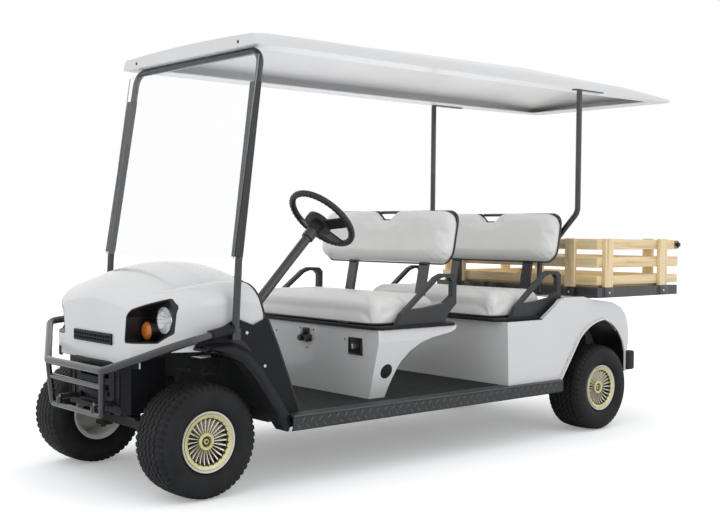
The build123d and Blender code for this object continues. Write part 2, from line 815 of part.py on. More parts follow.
with BuildPart() as front_hoop:
    left_leg = [
        (strut_x, behind(foot_d), 650), (strut_x, behind(hoop_knee[0]), hoop_knee[1]),
        (strut_top_x, behind(hoop_head_d), hoop_top),
    ]
    right_leg = [(-x, y, z) for x, y, z in reversed(left_leg)]
    add_tube(left_leg + right_leg, 60, tube_radius)
    # flattened feet that bolt the hoop to the aprons
    for side in (1, -1):
        foot_low = apron_x + apron_thickness
        add_block(*sorted((side * foot_low, side * (strut_x + 10))), foot_d - 20, foot_d + 20, 620, 664)
front_hoop.part.label = "front_hoop"
export_step(front_hoop.part, "parts/front_hoop.step")

glass_levels = (940, 1764)
with BuildPart() as windshield:
    glass_back = [(glass_back_at(level), level) for level in glass_levels]
    glass_face = [(d - glass_thickness, level) for d, level in reversed(glass_back)]
    add_side_prism(glass_back + glass_face, -glass_half_width, glass_half_width)
windshield.part.label = "windshield"
export_step(windshield.part, "parts/windshield.step")

# rubber strips that hold the glass: channels pushed over the hoop's legs from the front
strip_width = 42
strip_wrap = 6             # how far the channel reaches behind the leg's centre line
with BuildPart() as windshield_strips:
    for side in (1, -1):
        ends = []
        for level in strip_levels:
            leg_x, leg_d = strut_at(level)
            strip_face = glass_back_at(level) + running_gap
            with BuildSketch(Plane.XY.offset(level)) as strip_end:
                with Locations((side * (leg_x - 3), behind((strip_face + leg_d + strip_wrap) / 2))):
                    Rectangle(strip_width, leg_d + strip_wrap - strip_face)
            ends.append(strip_end.sketch)
        loft(sections=ends)
        knee = Vector(side * strut_x, behind(hoop_knee[0]), hoop_knee[1])
        head = Vector(side * strut_top_x, behind(hoop_head_d), hoop_top)
        with BuildSketch(Plane(origin=knee, z_dir=head - knee)) as groove:
            Circle(tube_radius + running_gap)
        extrude(to_extrude=groove.sketch, amount=(head - knee).length, mode=Mode.SUBTRACT)
windshield_strips.part.label = "windshield_strips"
export_step(windshield_strips.part, "parts/windshield_strips.step")

rear_strut_x = 537
rear_strut_d = 2305
strut_foot_x = 298         # below the bend each strut comes inward behind the rear back
strut_foot_d = 2292
shelf_height = 722         # top of the rear body behind the bench
foot_plate = 7
roof_flange = 5
bracket_thickness = 6
# roof sections, front to rear: distance, half width, edge height, skirt height, crown height
roof_sections = (
    (roof_front, 528, roof_edge_height, 46, 1856),
    (roof_front + 70, roof_half_width - 4, roof_edge_height + 1, 52, 1869),
    (600, roof_half_width, roof_edge_height + 4, 54, 1913),
    (1300, roof_half_width, roof_edge_height + 8, 54, 1947),
    (2150, roof_half_width, roof_edge_height + 14, 56, 1967),
    (2750, roof_half_width - 18, roof_edge_height + 20, 52, 1944),
    (roof_rear, roof_half_width - 52, roof_edge_height + roof_rear_rise, 26, 1874),
)


def roof_edge_at(distance):
    """Height of the roof's lower edge at a station, between the two sections beside it."""
    for (d_low, _, z_low, _, _), (d_high, _, z_high, _, _) in zip(roof_sections, roof_sections[1:]):
        if d_low <= distance <= d_high:
            return z_low + (z_high - z_low) * (distance - d_low) / (d_high - d_low)
    return roof_sections[-1][2]


bracket_d = (2285, 2520)
with BuildPart() as rear_struts:
    for side in (1, -1):
        add_tube(
            [
                (side * strut_foot_x, behind(strut_foot_d), shelf_height + foot_plate),
                (side * strut_foot_x, behind(strut_foot_d), 905),
                (side * rear_strut_x, behind(rear_strut_d), 1168),
                (side * rear_strut_x, behind(rear_strut_d), roof_edge_at(rear_strut_d) - bracket_thickness),
            ],
            70,
            tube_radius,
        )
        # flat bracket under the roof's flange
        bracket_top = [(d, roof_edge_at(d) - running_gap) for d in bracket_d]
        bracket_low = [(d, z - bracket_thickness) for d, z in reversed(bracket_top)]
        add_side_prism(bracket_top + bracket_low, *sorted((side * (rear_strut_x - 34), side * (rear_strut_x - 2))))
        # foot plate on the shelf behind the rear bench
        add_block(
            *sorted((side * (strut_foot_x - 30), side * (strut_foot_x + 30))), strut_foot_d - 22, strut_foot_d + 22,
            shelf_height + running_gap, shelf_height + running_gap + foot_plate,
        )
rear_struts.part.label = "rear_struts"
export_step(rear_struts.part, "parts/rear_struts.step")


def roof_outline(distance, half_width, edge, skirt, crown, inset=0, end_inset=0):
    """Closed roof section across the cart; the cavity's one is inset and starts above the flange."""
    half = half_width - inset
    low = edge if inset == 0 else edge + roof_flange
    knee = low + (skirt - inset) * 0.5
    shoulder = low + skirt - inset
    with BuildSketch(cross_plane(behind(distance + end_inset))) as section:
        with BuildLine():
            Line((-half, low), (half, low))
            Line((half, low), (half - 5, knee))
            ThreePointArc((half - 5, knee), (half - 17, low + (skirt - inset) * 0.84), (half - 48, shoulder))
            ThreePointArc((half - 48, shoulder), (0, crown - inset), (48 - half, shoulder))
            ThreePointArc((48 - half, shoulder), (17 - half, low + (skirt - inset) * 0.84), (5 - half, knee))
            Line((5 - half, knee), (-half, low))
        make_face()
    return section.sketch


end_insets = (8, 0, 0, 0, 0, 0, -8)
with BuildPart() as canopy:
    loft(sections=[roof_outline(*row) for row in roof_sections], ruled=True)
    loft(
        sections=[roof_outline(*row, inset=6, end_inset=end) for row, end in zip(roof_sections, end_insets)],
        ruled=True,
        mode=Mode.SUBTRACT,
    )
    add_block(-430, 430, roof_front + 110, roof_rear - 130, 1700, 1845, mode=Mode.SUBTRACT)
canopy.part.label = "canopy"
export_step(canopy.part, "parts/canopy.step")

# ---------------------------------------------------------------- seats
seat_lean = 11             # of the backs and their posts from the vertical
tray_half_width = 536
deck_top = seat_deck_height
cushion_bottom = tray_top + running_gap
cushion_front = seat_front + 8
hinge_reach = 7            # the lids' hinge lines lie this far in front of the cushions
hinge_barrel_radius = 4.5
hinge_height = tray_top + 4
back_height = 268
back_thickness = 86
back_bottom = 913
back_half_width = 476
back_front_d = 1340        # front face of the front back at its lower edge
notch_width = 190
notch_depth = 45
grab_radius = 8
grab_height = 1155
post_x = 264
post_width = 58
board_thickness = 7
hip_x = (488, 514)


def along_back(pitch, height, inset):
    """(distance, height) of a point this far behind the leaning back's front face."""
    rise = height - back_bottom
    distance = back_front_d + pitch + rise * tan(radians(seat_lean)) + inset / cos(radians(seat_lean))
    return distance, height


benches = (("front", 0), ("rear", seat_pitch))

for bench, pitch in benches:
    with BuildPart() as cushion:
        add_block(
            -seat_half_width, seat_half_width, cushion_front + pitch, cushion_front + pitch + cushion_depth,
            cushion_bottom, cushion_bottom + cushion_height,
        )
        fillet(cushion.edges().filter_by(Axis.Z), 62)
        fillet(cushion.faces().sort_by(Axis.Z)[-1].edges(), 34)
    cushion.part.label = f"{bench}_seat_cushion"
    export_step(cushion.part, f"parts/{bench}_seat_cushion.step")

with BuildPart() as seat_trays:
    for bench, pitch in benches:
        with BuildSketch(Plane.XY.offset(deck_top)) as tray:
            with Locations((0, behind(seat_front - 16 + pitch + 258))):
                RectangleRounded(2 * tray_half_width, 516, 46)
        extrude(to_extrude=tray.sketch, amount=tray_thickness)
    fillet(seat_trays.edges().filter_by(Axis.Z, reverse=True).group_by(Axis.Z)[-1], 4)
    # hinge barrels of the lifting cushions, along the front of each tray
    for bench, pitch in benches:
        for hinge_x in (-280, 280):
            with BuildSketch(side_plane(hinge_x)) as hinge_barrel:
                with Locations((behind(cushion_front - hinge_reach + pitch), hinge_height)):
                    Circle(hinge_barrel_radius)
            extrude(to_extrude=hinge_barrel.sketch, amount=40, both=True)
seat_trays.part.label = "seat_trays"
export_step(seat_trays.part, "parts/seat_trays.step")

with BuildPart() as seat_backs:
    for bench, pitch in benches:
        low_d, low_z = along_back(pitch, back_bottom, 0)
        back_plane = Plane(
            origin=(0, behind(low_d), low_z),
            x_dir=(1, 0, 0),
            z_dir=(0, -cos(radians(seat_lean)), sin(radians(seat_lean))),
        )
        with BuildSketch(back_plane) as back_face:
            with Locations((0, back_height / 2)):
                RectangleRounded(2 * back_half_width, back_height, 70)
            # hand hole notched into the top edge
            with Locations((0, back_height)):
                RectangleRounded(notch_width, 2 * notch_depth, 40, mode=Mode.SUBTRACT)
        extrude(to_extrude=back_face.sketch, amount=-back_thickness)
seat_backs.part.label = "seat_backs"
export_step(seat_backs.part, "parts/seat_backs.step")

with BuildPart() as seat_back_frames:
    for bench, pitch in benches:
        board_in = back_thickness + running_gap
        for side in (1, -1):
            low, high = sorted((side * (post_x - post_width / 2), side * (post_x + post_width / 2)))
            add_side_prism(
                (
                    along_back(pitch, tray_top, board_in + board_thickness),
                    along_back(pitch, 1120, board_in + board_thickness),
                    along_back(pitch, 1120, board_in + board_thickness + 18),
                    along_back(pitch, tray_top, board_in + board_thickness + 18),
                ),
                low,
                high,
            )
            post_foot_d = along_back(pitch, tray_top, board_in)[0]
            add_block(low, high, post_foot_d - 14, post_foot_d + 52, tray_top, tray_top + 7)
        low_d, low_z = along_back(pitch, back_bottom, board_in)
        board_plane = Plane(
            origin=(0, behind(low_d), low_z),
            x_dir=(1, 0, 0),
            z_dir=(0, -cos(radians(seat_lean)), sin(radians(seat_lean))),
        )
        with BuildSketch(board_plane) as board:
            with Locations((0, back_height / 2 - 4)):
                RectangleRounded(2 * back_half_width - 20, back_height - 20, 62)
            with Locations((0, back_height)):
                RectangleRounded(notch_width + 24, 2 * notch_depth + 24, 48, mode=Mode.SUBTRACT)
        extrude(to_extrude=board.sketch, amount=-board_thickness)
        # grab bar across the notch, its ends bent down onto the board
        bar_inset = board_in + board_thickness + grab_radius - 1
        bar_d, bar_z = along_back(pitch, grab_height, bar_inset)
        end_d, end_z = along_back(pitch, grab_height - 60, bar_inset)
        bar_half = notch_width / 2 + 14
        add_tube(
            [
                (-bar_half - 14, behind(end_d), end_z),
                (-bar_half, behind(bar_d), bar_z),
                (bar_half, behind(bar_d), bar_z),
                (bar_half + 14, behind(end_d), end_z),
            ],
            18,
            grab_radius,
        )
seat_back_frames.part.label = "seat_back_frames"
export_step(seat_back_frames.part, "parts/seat_back_frames.step")

# hip restraint loop in side view: outer and inner edge, as (distance, height) for the front bench
hip_outer = ((1020, tray_top), (1052, 682), (1270, 846), (1311, 861), (1388, 858), (1410, 838), (1410, 716),
             (1352, 668), (1336, tray_top))
hip_inner = ((1106, 700), (1210, 704), (1330, 722), (1380, 756), (1380, 822), (1362, 840), (1322, 843), (1284, 832))
with BuildPart() as hip_restraints:
    for bench, pitch in benches:
        for side in (1, -1):
            low, high = sorted((side * hip_x[0], side * hip_x[1]))
            add_side_prism([(d + pitch, z) for d, z in hip_outer], low, high)
            add_side_prism([(d + pitch, z) for d, z in hip_inner], low - 5, high + 5, mode=Mode.SUBTRACT)
hip_restraints.part.label = "hip_restraints"
export_step(hip_restraints.part, "parts/hip_restraints.step")

# ---------------------------------------------------------------- painted pods and rear body
pod_profile = ((912, floor_height), (900, deck_top), (1402, deck_top), (1398, 598), (1360, 584), (1236, 566),
               (1173, 547), (1111, 512), (1066, 465), (1047, 433), (1018, 353), (1006, floor_height))
pod_half_top = 524
pod_half_bottom = 452
with BuildPart() as front_seat_pod:
    add_side_prism(pod_profile, -600, 600)
    with BuildSketch(cross_plane(behind(500))):
        Polygon((-pod_half_bottom, floor_height), (pod_half_bottom, floor_height), (pod_half_top, 560),
                (pod_half_top, deck_top), (-pod_half_top, deck_top), (-pod_half_top, 560), align=None)
    extrude(amount=-1200, mode=Mode.INTERSECT)
    # hollow, open at the top under the seat
    add_side_prism(
        ((912 + body_wall, floor_height + body_wall), (900 + body_wall, deck_top + 5), (1402 - 12, deck_top + 5),
         (1360, 590), (1233, 573), (1168, 554), (1105, 517), (1060, 468), (1041, 435), (1012, 356),
         (1001, floor_height + body_wall)),
        -pod_half_bottom + body_wall,
        pod_half_bottom - body_wall,
        mode=Mode.SUBTRACT,
    )
front_seat_pod.part.label = "front_seat_pod"
export_step(front_seat_pod.part, "parts/front_seat_pod.step")

body_half_width = 566
arch_lip_half_width = 580
arch_lip = 9
body_outline = ((pod_bottom_front, floor_height), (1722, deck_top), (2246, deck_top), (2252, 700),
                (2262, shelf_height), (2330, shelf_height), (2400, 706), (2590, 684), (2668, 652), (2712, 610), (2734, 556), (2742, 490),
                (2736, 430), (2716, 402), (2200, 402), (2160, floor_height))
body_cavity = ((pod_bottom_front + body_wall, floor_height - 10), (1722 + body_wall, deck_top + 5),
               (2240, deck_top + 5), (2247, 701), (2258, shelf_height - body_wall), (2330, shelf_height - body_wall),
               (2399, 701), (2588, 679), (2665, 647), (2707, 608), (2729, 556), (2737, 490), (2731, 432),
               (2712, 390), (2300, 390), (2300, floor_height - 10))
# cheek beside the tray, up to the shelf: distance, height
body_cheek = ((1992, 616), (2045, 649), (2105, 686), (2140, 712), (2180, shelf_height), (2262, shelf_height),
              (2262, deck_top - 15), (1992, deck_top - 15))


def add_arch(grow, x_low, x_high, mode):
    """Prism of the rear wheel arch's opening, drawn larger all round by grow."""
    with BuildSketch(side_plane(x_low)) as arch:
        with BuildLine():
            Line((behind(2135), 290), (behind(2290), 500))
            ThreePointArc((behind(2290), 500), (behind(2380), 562), (behind(2500), 592))
            ThreePointArc((behind(2500), 592), (behind(2620), 530), (behind(2690), 402))
            Line((behind(2690), 402), (behind(2690), 290))
            Line((behind(2690), 290), (behind(2135), 290))
        make_face()
        if grow:
            offset(amount=grow)
    extrude(to_extrude=arch.sketch, amount=x_high - x_low, dir=(1, 0, 0), mode=mode)


with BuildPart() as rear_body:
    add_side_prism(body_outline, -body_half_width, body_half_width)
    for side in (1, -1):
        add_side_prism(body_cheek, *sorted((side * (tray_half_width + 5), side * body_half_width)))
        add_arch(arch_lip, *sorted((side * (body_half_width - 8), side * arch_lip_half_width)), Mode.ADD)
    add_block(-620, 620, 2100, 2800, 200, 300, mode=Mode.SUBTRACT)
    add_side_prism(body_cavity, body_wall - body_half_width, body_half_width - body_wall, mode=Mode.SUBTRACT)
    for side in (1, -1):
        add_arch(0, *sorted((side * 380, side * 640)), Mode.SUBTRACT)
    # sunk deck between the fenders, under the bed
    add_block(-390, 390, 2385, 2700, 640, 760, mode=Mode.SUBTRACT)
    add_block(-395, 395, 2380, 2705, 634, 640)
    # clearance holes for the bed's posts
    for side in (1, -1):
        for post_d in (2460, 2640):
            add_block(side * 280 - 26, side * 280 + 26, post_d - 26, post_d + 26, 600, 700, mode=Mode.SUBTRACT)
rear_body.part.label = "rear_body"
export_step(rear_body.part, "parts/rear_body.step")

with BuildPart() as rear_bumper:
    add_block(-556, 556, 2748, 2790, 312, 398)
    add_block(-548, 548, 2746, 2782, 320, 390, mode=Mode.SUBTRACT)
    for side in (1, -1):
        add_block(side * 280 - 20, side * 280 + 20, 2700, 2790, 340, 370)
        add_block(side * 280 - 20, side * 280 + 20, 2700, 2708, 340, rear_rail_top)
rear_bumper.part.label = "rear_bumper"
export_step(rear_bumper.part, "parts/rear_bumper.step")

# ---------------------------------------------------------------- stake bed
bed_flange = 56
bed_rail_top = bed_rail_bottom + bed_rail_height
bed_inner = bed_half_width - bed_flange
floor_board_half = bed_half_width - stake_thickness - slat_thickness - 4
beam_height = 26
gate_stake_x = 407
gate_gap = 7
hinge_pin_radius = 3
gate_hinge = (bed_rear + 8, bed_rail_top + gate_gap + 10)
gate_stake_half = 32
lug_gap = 5                # from the gate's stakes to the lugs beside them
eye_half_length = gate_stake_half + lug_gap - running_gap
lug_thickness = 6
with BuildPart() as bed_frame:
    add_block(-bed_half_width, bed_half_width, bed_front, bed_rear, bed_rail_bottom, bed_rail_top)
    add_block(bed_rail_wall - bed_half_width, bed_half_width - bed_rail_wall, bed_front + bed_rail_wall,
              bed_rear - bed_rail_wall, bed_rail_bottom + bed_rail_wall, bed_rail_top - bed_rail_wall,
              mode=Mode.SUBTRACT)
    add_block(-bed_inner, bed_inner, bed_front + bed_flange, bed_rear - bed_flange, bed_rail_bottom,
              bed_rail_top, mode=Mode.SUBTRACT)
    for cross_d in (2640, 2900):
        add_block(-bed_half_width + 2, bed_half_width - 2, cross_d, cross_d + 44, bed_rail_bottom, bed_rail_top)
    for side in (1, -1):
        add_block(side * 280 - 22, side * 280 + 22, bed_front + 10, 3000, bed_rail_bottom - beam_height,
                  bed_rail_bottom)
        for post_d in (2460, 2640):
            add_block(side * 280 - 20, side * 280 + 20, post_d - 20, post_d + 20, rear_rail_top,
                      bed_rail_bottom - beam_height)
    # hinge lugs and pins for the gate
    for side in (1, -1):
        for end in (1, -1):
            lug_x = side * gate_stake_x + end * (eye_half_length + running_gap + lug_thickness / 2)
            add_block(lug_x - lug_thickness / 2, lug_x + lug_thickness / 2, bed_rear, gate_hinge[0] + 8,
                      bed_rail_bottom + 20, gate_hinge[1] + 8)
        pin_half = eye_half_length + running_gap + lug_thickness
        with BuildSketch(side_plane(side * gate_stake_x)) as hinge_pin:
            with Locations((behind(gate_hinge[0]), gate_hinge[1])):
                Circle(hinge_pin_radius)
        extrude(to_extrude=hinge_pin.sketch, amount=pin_half, both=True)
bed_frame.part.label = "bed_frame"
export_step(bed_frame.part, "parts/bed_frame.step")

bed_board_count = 7
with BuildPart() as bed_floor:
    board_pitch = 2 * floor_board_half / bed_board_count
    board_length = bed_rear - bed_front - 2 * 48
    for board in range(bed_board_count):
        board_x = (board + 0.5) * board_pitch - floor_board_half
        with Locations((board_x, behind((bed_front + bed_rear) / 2), bed_rail_top + 6)):
            Box(board_pitch - 2, board_length, 12)
bed_floor.part.label = "bed_floor"
export_step(bed_floor.part, "parts/bed_floor.step")

side_slat_rear = bed_rear + 40
stake_top = slat_levels[-1][1] + 6
with BuildPart() as bed_sides:
    for side in (1, -1):
        slat_low, slat_high = sorted((side * (bed_half_width - stake_thickness - slat_thickness),
                                      side * (bed_half_width - stake_thickness)))
        stake_low, stake_high = sorted((side * (bed_half_width - stake_thickness), side * bed_half_width))
        for low_z, high_z in slat_levels:
            add_block(slat_low, slat_high, bed_front + stake_thickness + slat_thickness + 0.5, side_slat_rear,
                      low_z, high_z)
        for stake_d in (2478, 2996):
            add_block(stake_low, stake_high, stake_d, stake_d + 72, bed_rail_top, stake_top)
    head_half = bed_half_width - stake_thickness
    for low_z, high_z in slat_levels:
        add_block(-head_half, head_half, bed_front + stake_thickness, bed_front + stake_thickness + slat_thickness,
                  low_z, high_z)
    for side in (1, -1):
        add_block(side * gate_stake_x - gate_stake_half, side * gate_stake_x + gate_stake_half, bed_front,
                  bed_front + stake_thickness, bed_rail_top, stake_top)
bed_sides.part.label = "bed_sides"
export_step(bed_sides.part, "parts/bed_sides.step")

gate_half = bed_half_width - stake_thickness - slat_thickness - gate_gap
gate_bottom = bed_rail_top + gate_gap
with BuildPart() as tailgate:
    gate_outer = bed_rear
    for low_z, high_z in slat_levels:
        add_block(-gate_half, gate_half, gate_outer - stake_thickness - slat_thickness,
                  gate_outer - stake_thickness, low_z, high_z)
    for side in (1, -1):
        stake_x = side * gate_stake_x
        add_block(stake_x - gate_stake_half, stake_x + gate_stake_half, gate_outer - stake_thickness, gate_outer,
                  gate_bottom, stake_top)
        # hinge eye low on each stake
        with BuildSketch(side_plane(stake_x)) as hinge_eye:
            with Locations((behind(gate_hinge[0]), gate_hinge[1])):
                Circle(8)
            with Locations((behind(gate_outer + 2), gate_hinge[1] + 4)):
                Rectangle(10, 24)
            with Locations((behind(gate_hinge[0]), gate_hinge[1])):
                Circle(hinge_pin_radius + shaft_gap, mode=Mode.SUBTRACT)
        extrude(to_extrude=hinge_eye.sketch, amount=eye_half_length, both=True)
tailgate.part.label = "tailgate"
export_step(tailgate.part, "parts/tailgate.step")
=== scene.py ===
"""Looks of the golf cart: finishes, wheels, cushions, wooden sides and small parts, round its CAD frame.

Lengths are metres in the CAD's own frame: +X is the cart's left, -Y its front, +Z up.
Stations along the cart are distances behind the front axle, turned into Y by behind().
"""

import math

import bmesh
import bpy
from mathutils import Matrix, Vector


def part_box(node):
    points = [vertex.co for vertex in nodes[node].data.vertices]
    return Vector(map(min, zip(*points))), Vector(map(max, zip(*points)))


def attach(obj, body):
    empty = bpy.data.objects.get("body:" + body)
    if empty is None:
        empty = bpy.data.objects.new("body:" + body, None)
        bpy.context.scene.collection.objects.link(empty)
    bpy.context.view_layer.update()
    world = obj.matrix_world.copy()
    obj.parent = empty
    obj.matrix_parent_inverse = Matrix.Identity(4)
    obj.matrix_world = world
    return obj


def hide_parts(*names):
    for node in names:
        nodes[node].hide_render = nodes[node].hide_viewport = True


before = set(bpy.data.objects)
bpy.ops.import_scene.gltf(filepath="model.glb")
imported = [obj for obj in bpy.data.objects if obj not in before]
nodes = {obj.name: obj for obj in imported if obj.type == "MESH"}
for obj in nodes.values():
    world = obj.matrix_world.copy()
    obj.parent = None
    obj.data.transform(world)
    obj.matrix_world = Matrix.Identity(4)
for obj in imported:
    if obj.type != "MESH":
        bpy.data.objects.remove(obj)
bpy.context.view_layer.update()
TAU = 2 * math.pi


# ---------------------------------------------------------------- places taken from the frame
def middle(node):
    """Centre of a CAD node's box."""
    low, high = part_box(node)
    return (low + high) / 2


FRONT_AXLE_Y = middle("front_axle").y
AXLE_HEIGHT = middle("front_axle").z


def behind(distance):
    """Y of a station that lies this far behind the front axle."""
    return FRONT_AXLE_Y + distance


# ---------------------------------------------------------------- materials
def new_shader(name, color, roughness, metallic=0.0, coat=0.0, specular=0.5):
    """A Principled material with its plain values on the shader's own sockets."""
    material = bpy.data.materials.new(name)
    material.use_nodes = True
    shader = material.node_tree.nodes["Principled BSDF"]
    shader.inputs["Base Color"].default_value = (*color, 1)
    shader.inputs["Roughness"].default_value = roughness
    shader.inputs["Metallic"].default_value = metallic
    shader.inputs["Coat Weight"].default_value = coat
    shader.inputs["Coat Roughness"].default_value = 0.06
    shader.inputs["Specular IOR Level"].default_value = specular
    return material


def add_node(material, kind, **values):
    """A new node, with its input sockets set by name."""
    node = material.node_tree.nodes.new(kind)
    for socket, value in values.items():
        node.inputs[socket.replace("_", " ")].default_value = value
    return node


def link(material, source, target):
    material.node_tree.links.new(source, target)


def stretched_place(material, scale):
    """Object coordinates scaled by axis."""
    place = add_node(material, "ShaderNodeTexCoord")
    mapping = add_node(material, "ShaderNodeMapping")
    mapping.inputs["Scale"].default_value = scale
    link(material, place.outputs["Object"], mapping.inputs["Vector"])
    return mapping.outputs["Vector"]


def noise(material, scale, detail=3.0, distortion=0.0, stretch=(1, 1, 1)):
    """Output of a noise texture in object space."""
    node = add_node(material, "ShaderNodeTexNoise", Scale=scale, Detail=detail, Distortion=distortion)
    link(material, stretched_place(material, stretch), node.inputs["Vector"])
    return node.outputs["Fac"]


def vary_color(material, fac, colors, stops):
    """Drive the base colour by a factor through a ramp of colours."""
    ramp = material.node_tree.nodes.new("ShaderNodeValToRGB")
    elements = ramp.color_ramp.elements
    while len(elements) < len(colors):
        elements.new(0.5)
    for element, color, stop in zip(elements, colors, stops):
        element.position = stop
        element.color = (*color, 1)
    link(material, fac, ramp.inputs["Fac"])
    link(material, ramp.outputs["Color"], material.node_tree.nodes["Principled BSDF"].inputs["Base Color"])


def vary_roughness(material, fac, low, high):
    """Drive the roughness by a factor between two values."""
    spread = add_node(material, "ShaderNodeMapRange")
    spread.inputs["To Min"].default_value = low
    spread.inputs["To Max"].default_value = high
    link(material, fac, spread.inputs["Value"])
    link(material, spread.outputs["Result"], material.node_tree.nodes["Principled BSDF"].inputs["Roughness"])


def add_bump(material, height, strength, distance):
    """Bump from a height output, on top of any bump that is there."""
    shader = material.node_tree.nodes["Principled BSDF"]
    bump = add_node(material, "ShaderNodeBump", Strength=strength, Distance=distance)
    link(material, height, bump.inputs["Height"])
    if shader.inputs["Normal"].is_linked:
        link(material, shader.inputs["Normal"].links[0].from_socket, bump.inputs["Normal"])
    link(material, bump.outputs["Normal"], shader.inputs["Normal"])


def shade(color, factor):
    """A colour made darker or lighter."""
    return tuple(min(1.0, channel * factor) for channel in color)


def moulded(name, color, roughness, coat=0.0, grain=900, depth=0.0004, mottle=0.06, specular=0.5):
    """Moulded or painted surface: slight mottle, uneven gloss and a fine grain."""
    material = new_shader(name, color, roughness, coat=coat, specular=specular)
    clouds = (shade(color, 1 - mottle), shade(color, 1 + mottle))
    vary_color(material, noise(material, 4.0), clouds, (0.3, 0.7))
    vary_roughness(material, noise(material, 30.0, 4.0), roughness * 0.8, roughness * 1.25)
    add_bump(material, noise(material, grain, 2.0), 0.25, depth)
    return material


def make_vinyl():
    """Off-white seat vinyl with a fine leather grain."""
    color = (0.77, 0.76, 0.735)
    material = new_shader("seat_vinyl", color, 0.42)
    vary_color(material, noise(material, 7.0, 5.0), (shade(color, 0.94), color), (0.3, 0.7))
    vary_roughness(material, noise(material, 60.0), 0.36, 0.5)
    grain = add_node(material, "ShaderNodeTexVoronoi", Scale=420.0)
    link(material, stretched_place(material, (1, 1, 1)), grain.inputs["Vector"])
    add_bump(material, grain.outputs["Distance"], 0.35, 0.0006)
    add_bump(material, noise(material, 9.0, 2.0), 0.3, 0.006)
    return material


def make_wood(name, along):
    """Planed pine whose grain runs along one axis, 0 to 2."""
    across = [1.0, 1.0, 1.0]
    across[along] = 0.045
    material = new_shader(name, (0.78, 0.62, 0.40), 0.5, coat=0.15)
    rings = noise(material, 42.0, 6.0, 1.4, across)
    light, mid, dark = (0.86, 0.69, 0.42), (0.80, 0.60, 0.33), (0.62, 0.40, 0.17)
    vary_color(material, rings, (dark, mid, light, shade(light, 1.06)), (0.3, 0.42, 0.58, 0.75))
    vary_roughness(material, noise(material, 90.0, stretch=across), 0.42, 0.62)
    add_bump(material, rings, 0.25, 0.0012)
    return material


def make_tyre_rubber():
    """Black rubber, a little dusty and unevenly worn."""
    color = (0.011, 0.0113, 0.012)
    material = new_shader("tyre_rubber", color, 0.55, specular=0.25)
    vary_color(material, noise(material, 14.0, 5.0), (shade(color, 0.8), shade(color, 1.5)), (0.3, 0.72))
    vary_roughness(material, noise(material, 45.0), 0.52, 0.75)
    add_bump(material, noise(material, 700.0, 2.0), 0.3, 0.0006)
    return material


def make_glazing(name, alpha, tint):
    """Clear acrylic: mostly see-through, with a faint gloss."""
    material = new_shader(name, tint, 0.04)
    material.node_tree.nodes["Principled BSDF"].inputs["Alpha"].default_value = alpha
    vary_color(material, noise(material, 3.0), (shade(tint, 0.97), tint), (0.3, 0.7))
    return material


PAINT = moulded("body_paint", (0.68, 0.675, 0.67), 0.24, coat=0.5, grain=500, depth=0.00015, mottle=0.015)
ROOF_WHITE = moulded("roof_white", (0.70, 0.70, 0.705), 0.34, coat=0.2, grain=260, depth=0.0003, mottle=0.015)
CHARCOAL = moulded(
    "charcoal_plastic", (0.012, 0.0125, 0.0148), 0.45, grain=1100, depth=0.0005, mottle=0.12, specular=0.18,
)
MAT_RUBBER = moulded(
    "mat_rubber", (0.024, 0.026, 0.026), 0.75, grain=420, depth=0.0012, mottle=0.15, specular=0.2,
)
STEEL = moulded("black_steel", (0.022, 0.023, 0.027), 0.28, coat=0.55, grain=700, depth=0.0002, mottle=0.15)
GUARD_STEEL = moulded(
    "guard_steel", (0.021, 0.022, 0.025), 0.2, coat=0.7, grain=500, depth=0.0002, mottle=0.12,
)
GRIP = moulded("grip_plastic", (0.018, 0.018, 0.019), 0.42, grain=1300, depth=0.0006, mottle=0.15)
IRON = moulded("axle_iron", (0.022, 0.022, 0.023), 0.55, grain=300, depth=0.0014, mottle=0.3)
RIM_ENAMEL = moulded("rim_enamel", (0.74, 0.72, 0.66), 0.3, coat=0.4, grain=600, depth=0.00015, mottle=0.03)
PIPING = moulded("piping", (0.035, 0.036, 0.040), 0.4, grain=900, depth=0.0003, mottle=0.1)
SILL_PLASTIC = moulded("sill_plastic", (0.022, 0.023, 0.025), 0.42, grain=800, depth=0.0006, mottle=0.12)
# the studs are the sill's own plastic, made lighter here as a painted highlight on their raised faces
SILL_STUD_HIGHLIT = moulded("sill_stud_painted_highlight", (0.070, 0.072, 0.078), 0.35, coat=0.3, grain=800, depth=0.0003, mottle=0.12)
COVER_BLACK = moulded("cover_black", (0.010, 0.010, 0.011), 0.3, grain=900, depth=0.0002, mottle=0.2)
TYRE = make_tyre_rubber()
VINYL = make_vinyl()
WOOD = [make_wood(f"pine_along_{axis}", number) for number, axis in enumerate("xyz")]
GLAZING = make_glazing("clear_glazing", 0.05, (0.86, 0.88, 0.90))
GLAZING_EDGE = make_glazing("glazing_edge", 0.9, (0.30, 0.32, 0.34))


def make_metal(name, color, roughness, metallic=1.0):
    """Metal with a cloudy colour and an uneven shine."""
    material = new_shader(name, color, roughness, metallic=metallic)
    vary_color(material, noise(material, 25.0, 4.0), (shade(color, 0.85), shade(color, 1.08)), (0.3, 0.7))
    vary_roughness(material, noise(material, 120.0, 4.0), roughness * 0.75, roughness * 1.3)
    return material


GOLD = make_metal("cover_gold", (0.70, 0.64, 0.33), 0.38, 0.75)
# the vanes are the cover's gold, lightened as a painted highlight
VANE_HIGHLIT_GOLD = make_metal("cover_vane_painted_highlight", (0.86, 0.82, 0.66), 0.32, 0.5)
ZINC = make_metal("zinc_screw", (0.70, 0.71, 0.72), 0.30)
CHROME = make_metal("lamp_chrome", (0.86, 0.87, 0.88), 0.10)


def make_lens(name, color, transmission, roughness):
    """Moulded lens with a rippled inside."""
    material = new_shader(name, color, roughness, coat=0.5)
    material.node_tree.nodes["Principled BSDF"].inputs["Transmission Weight"].default_value = transmission
    vary_color(material, noise(material, 40.0), (shade(color, 0.9), color), (0.3, 0.7))
    add_bump(material, noise(material, 160.0), 0.3, 0.0008)
    return material


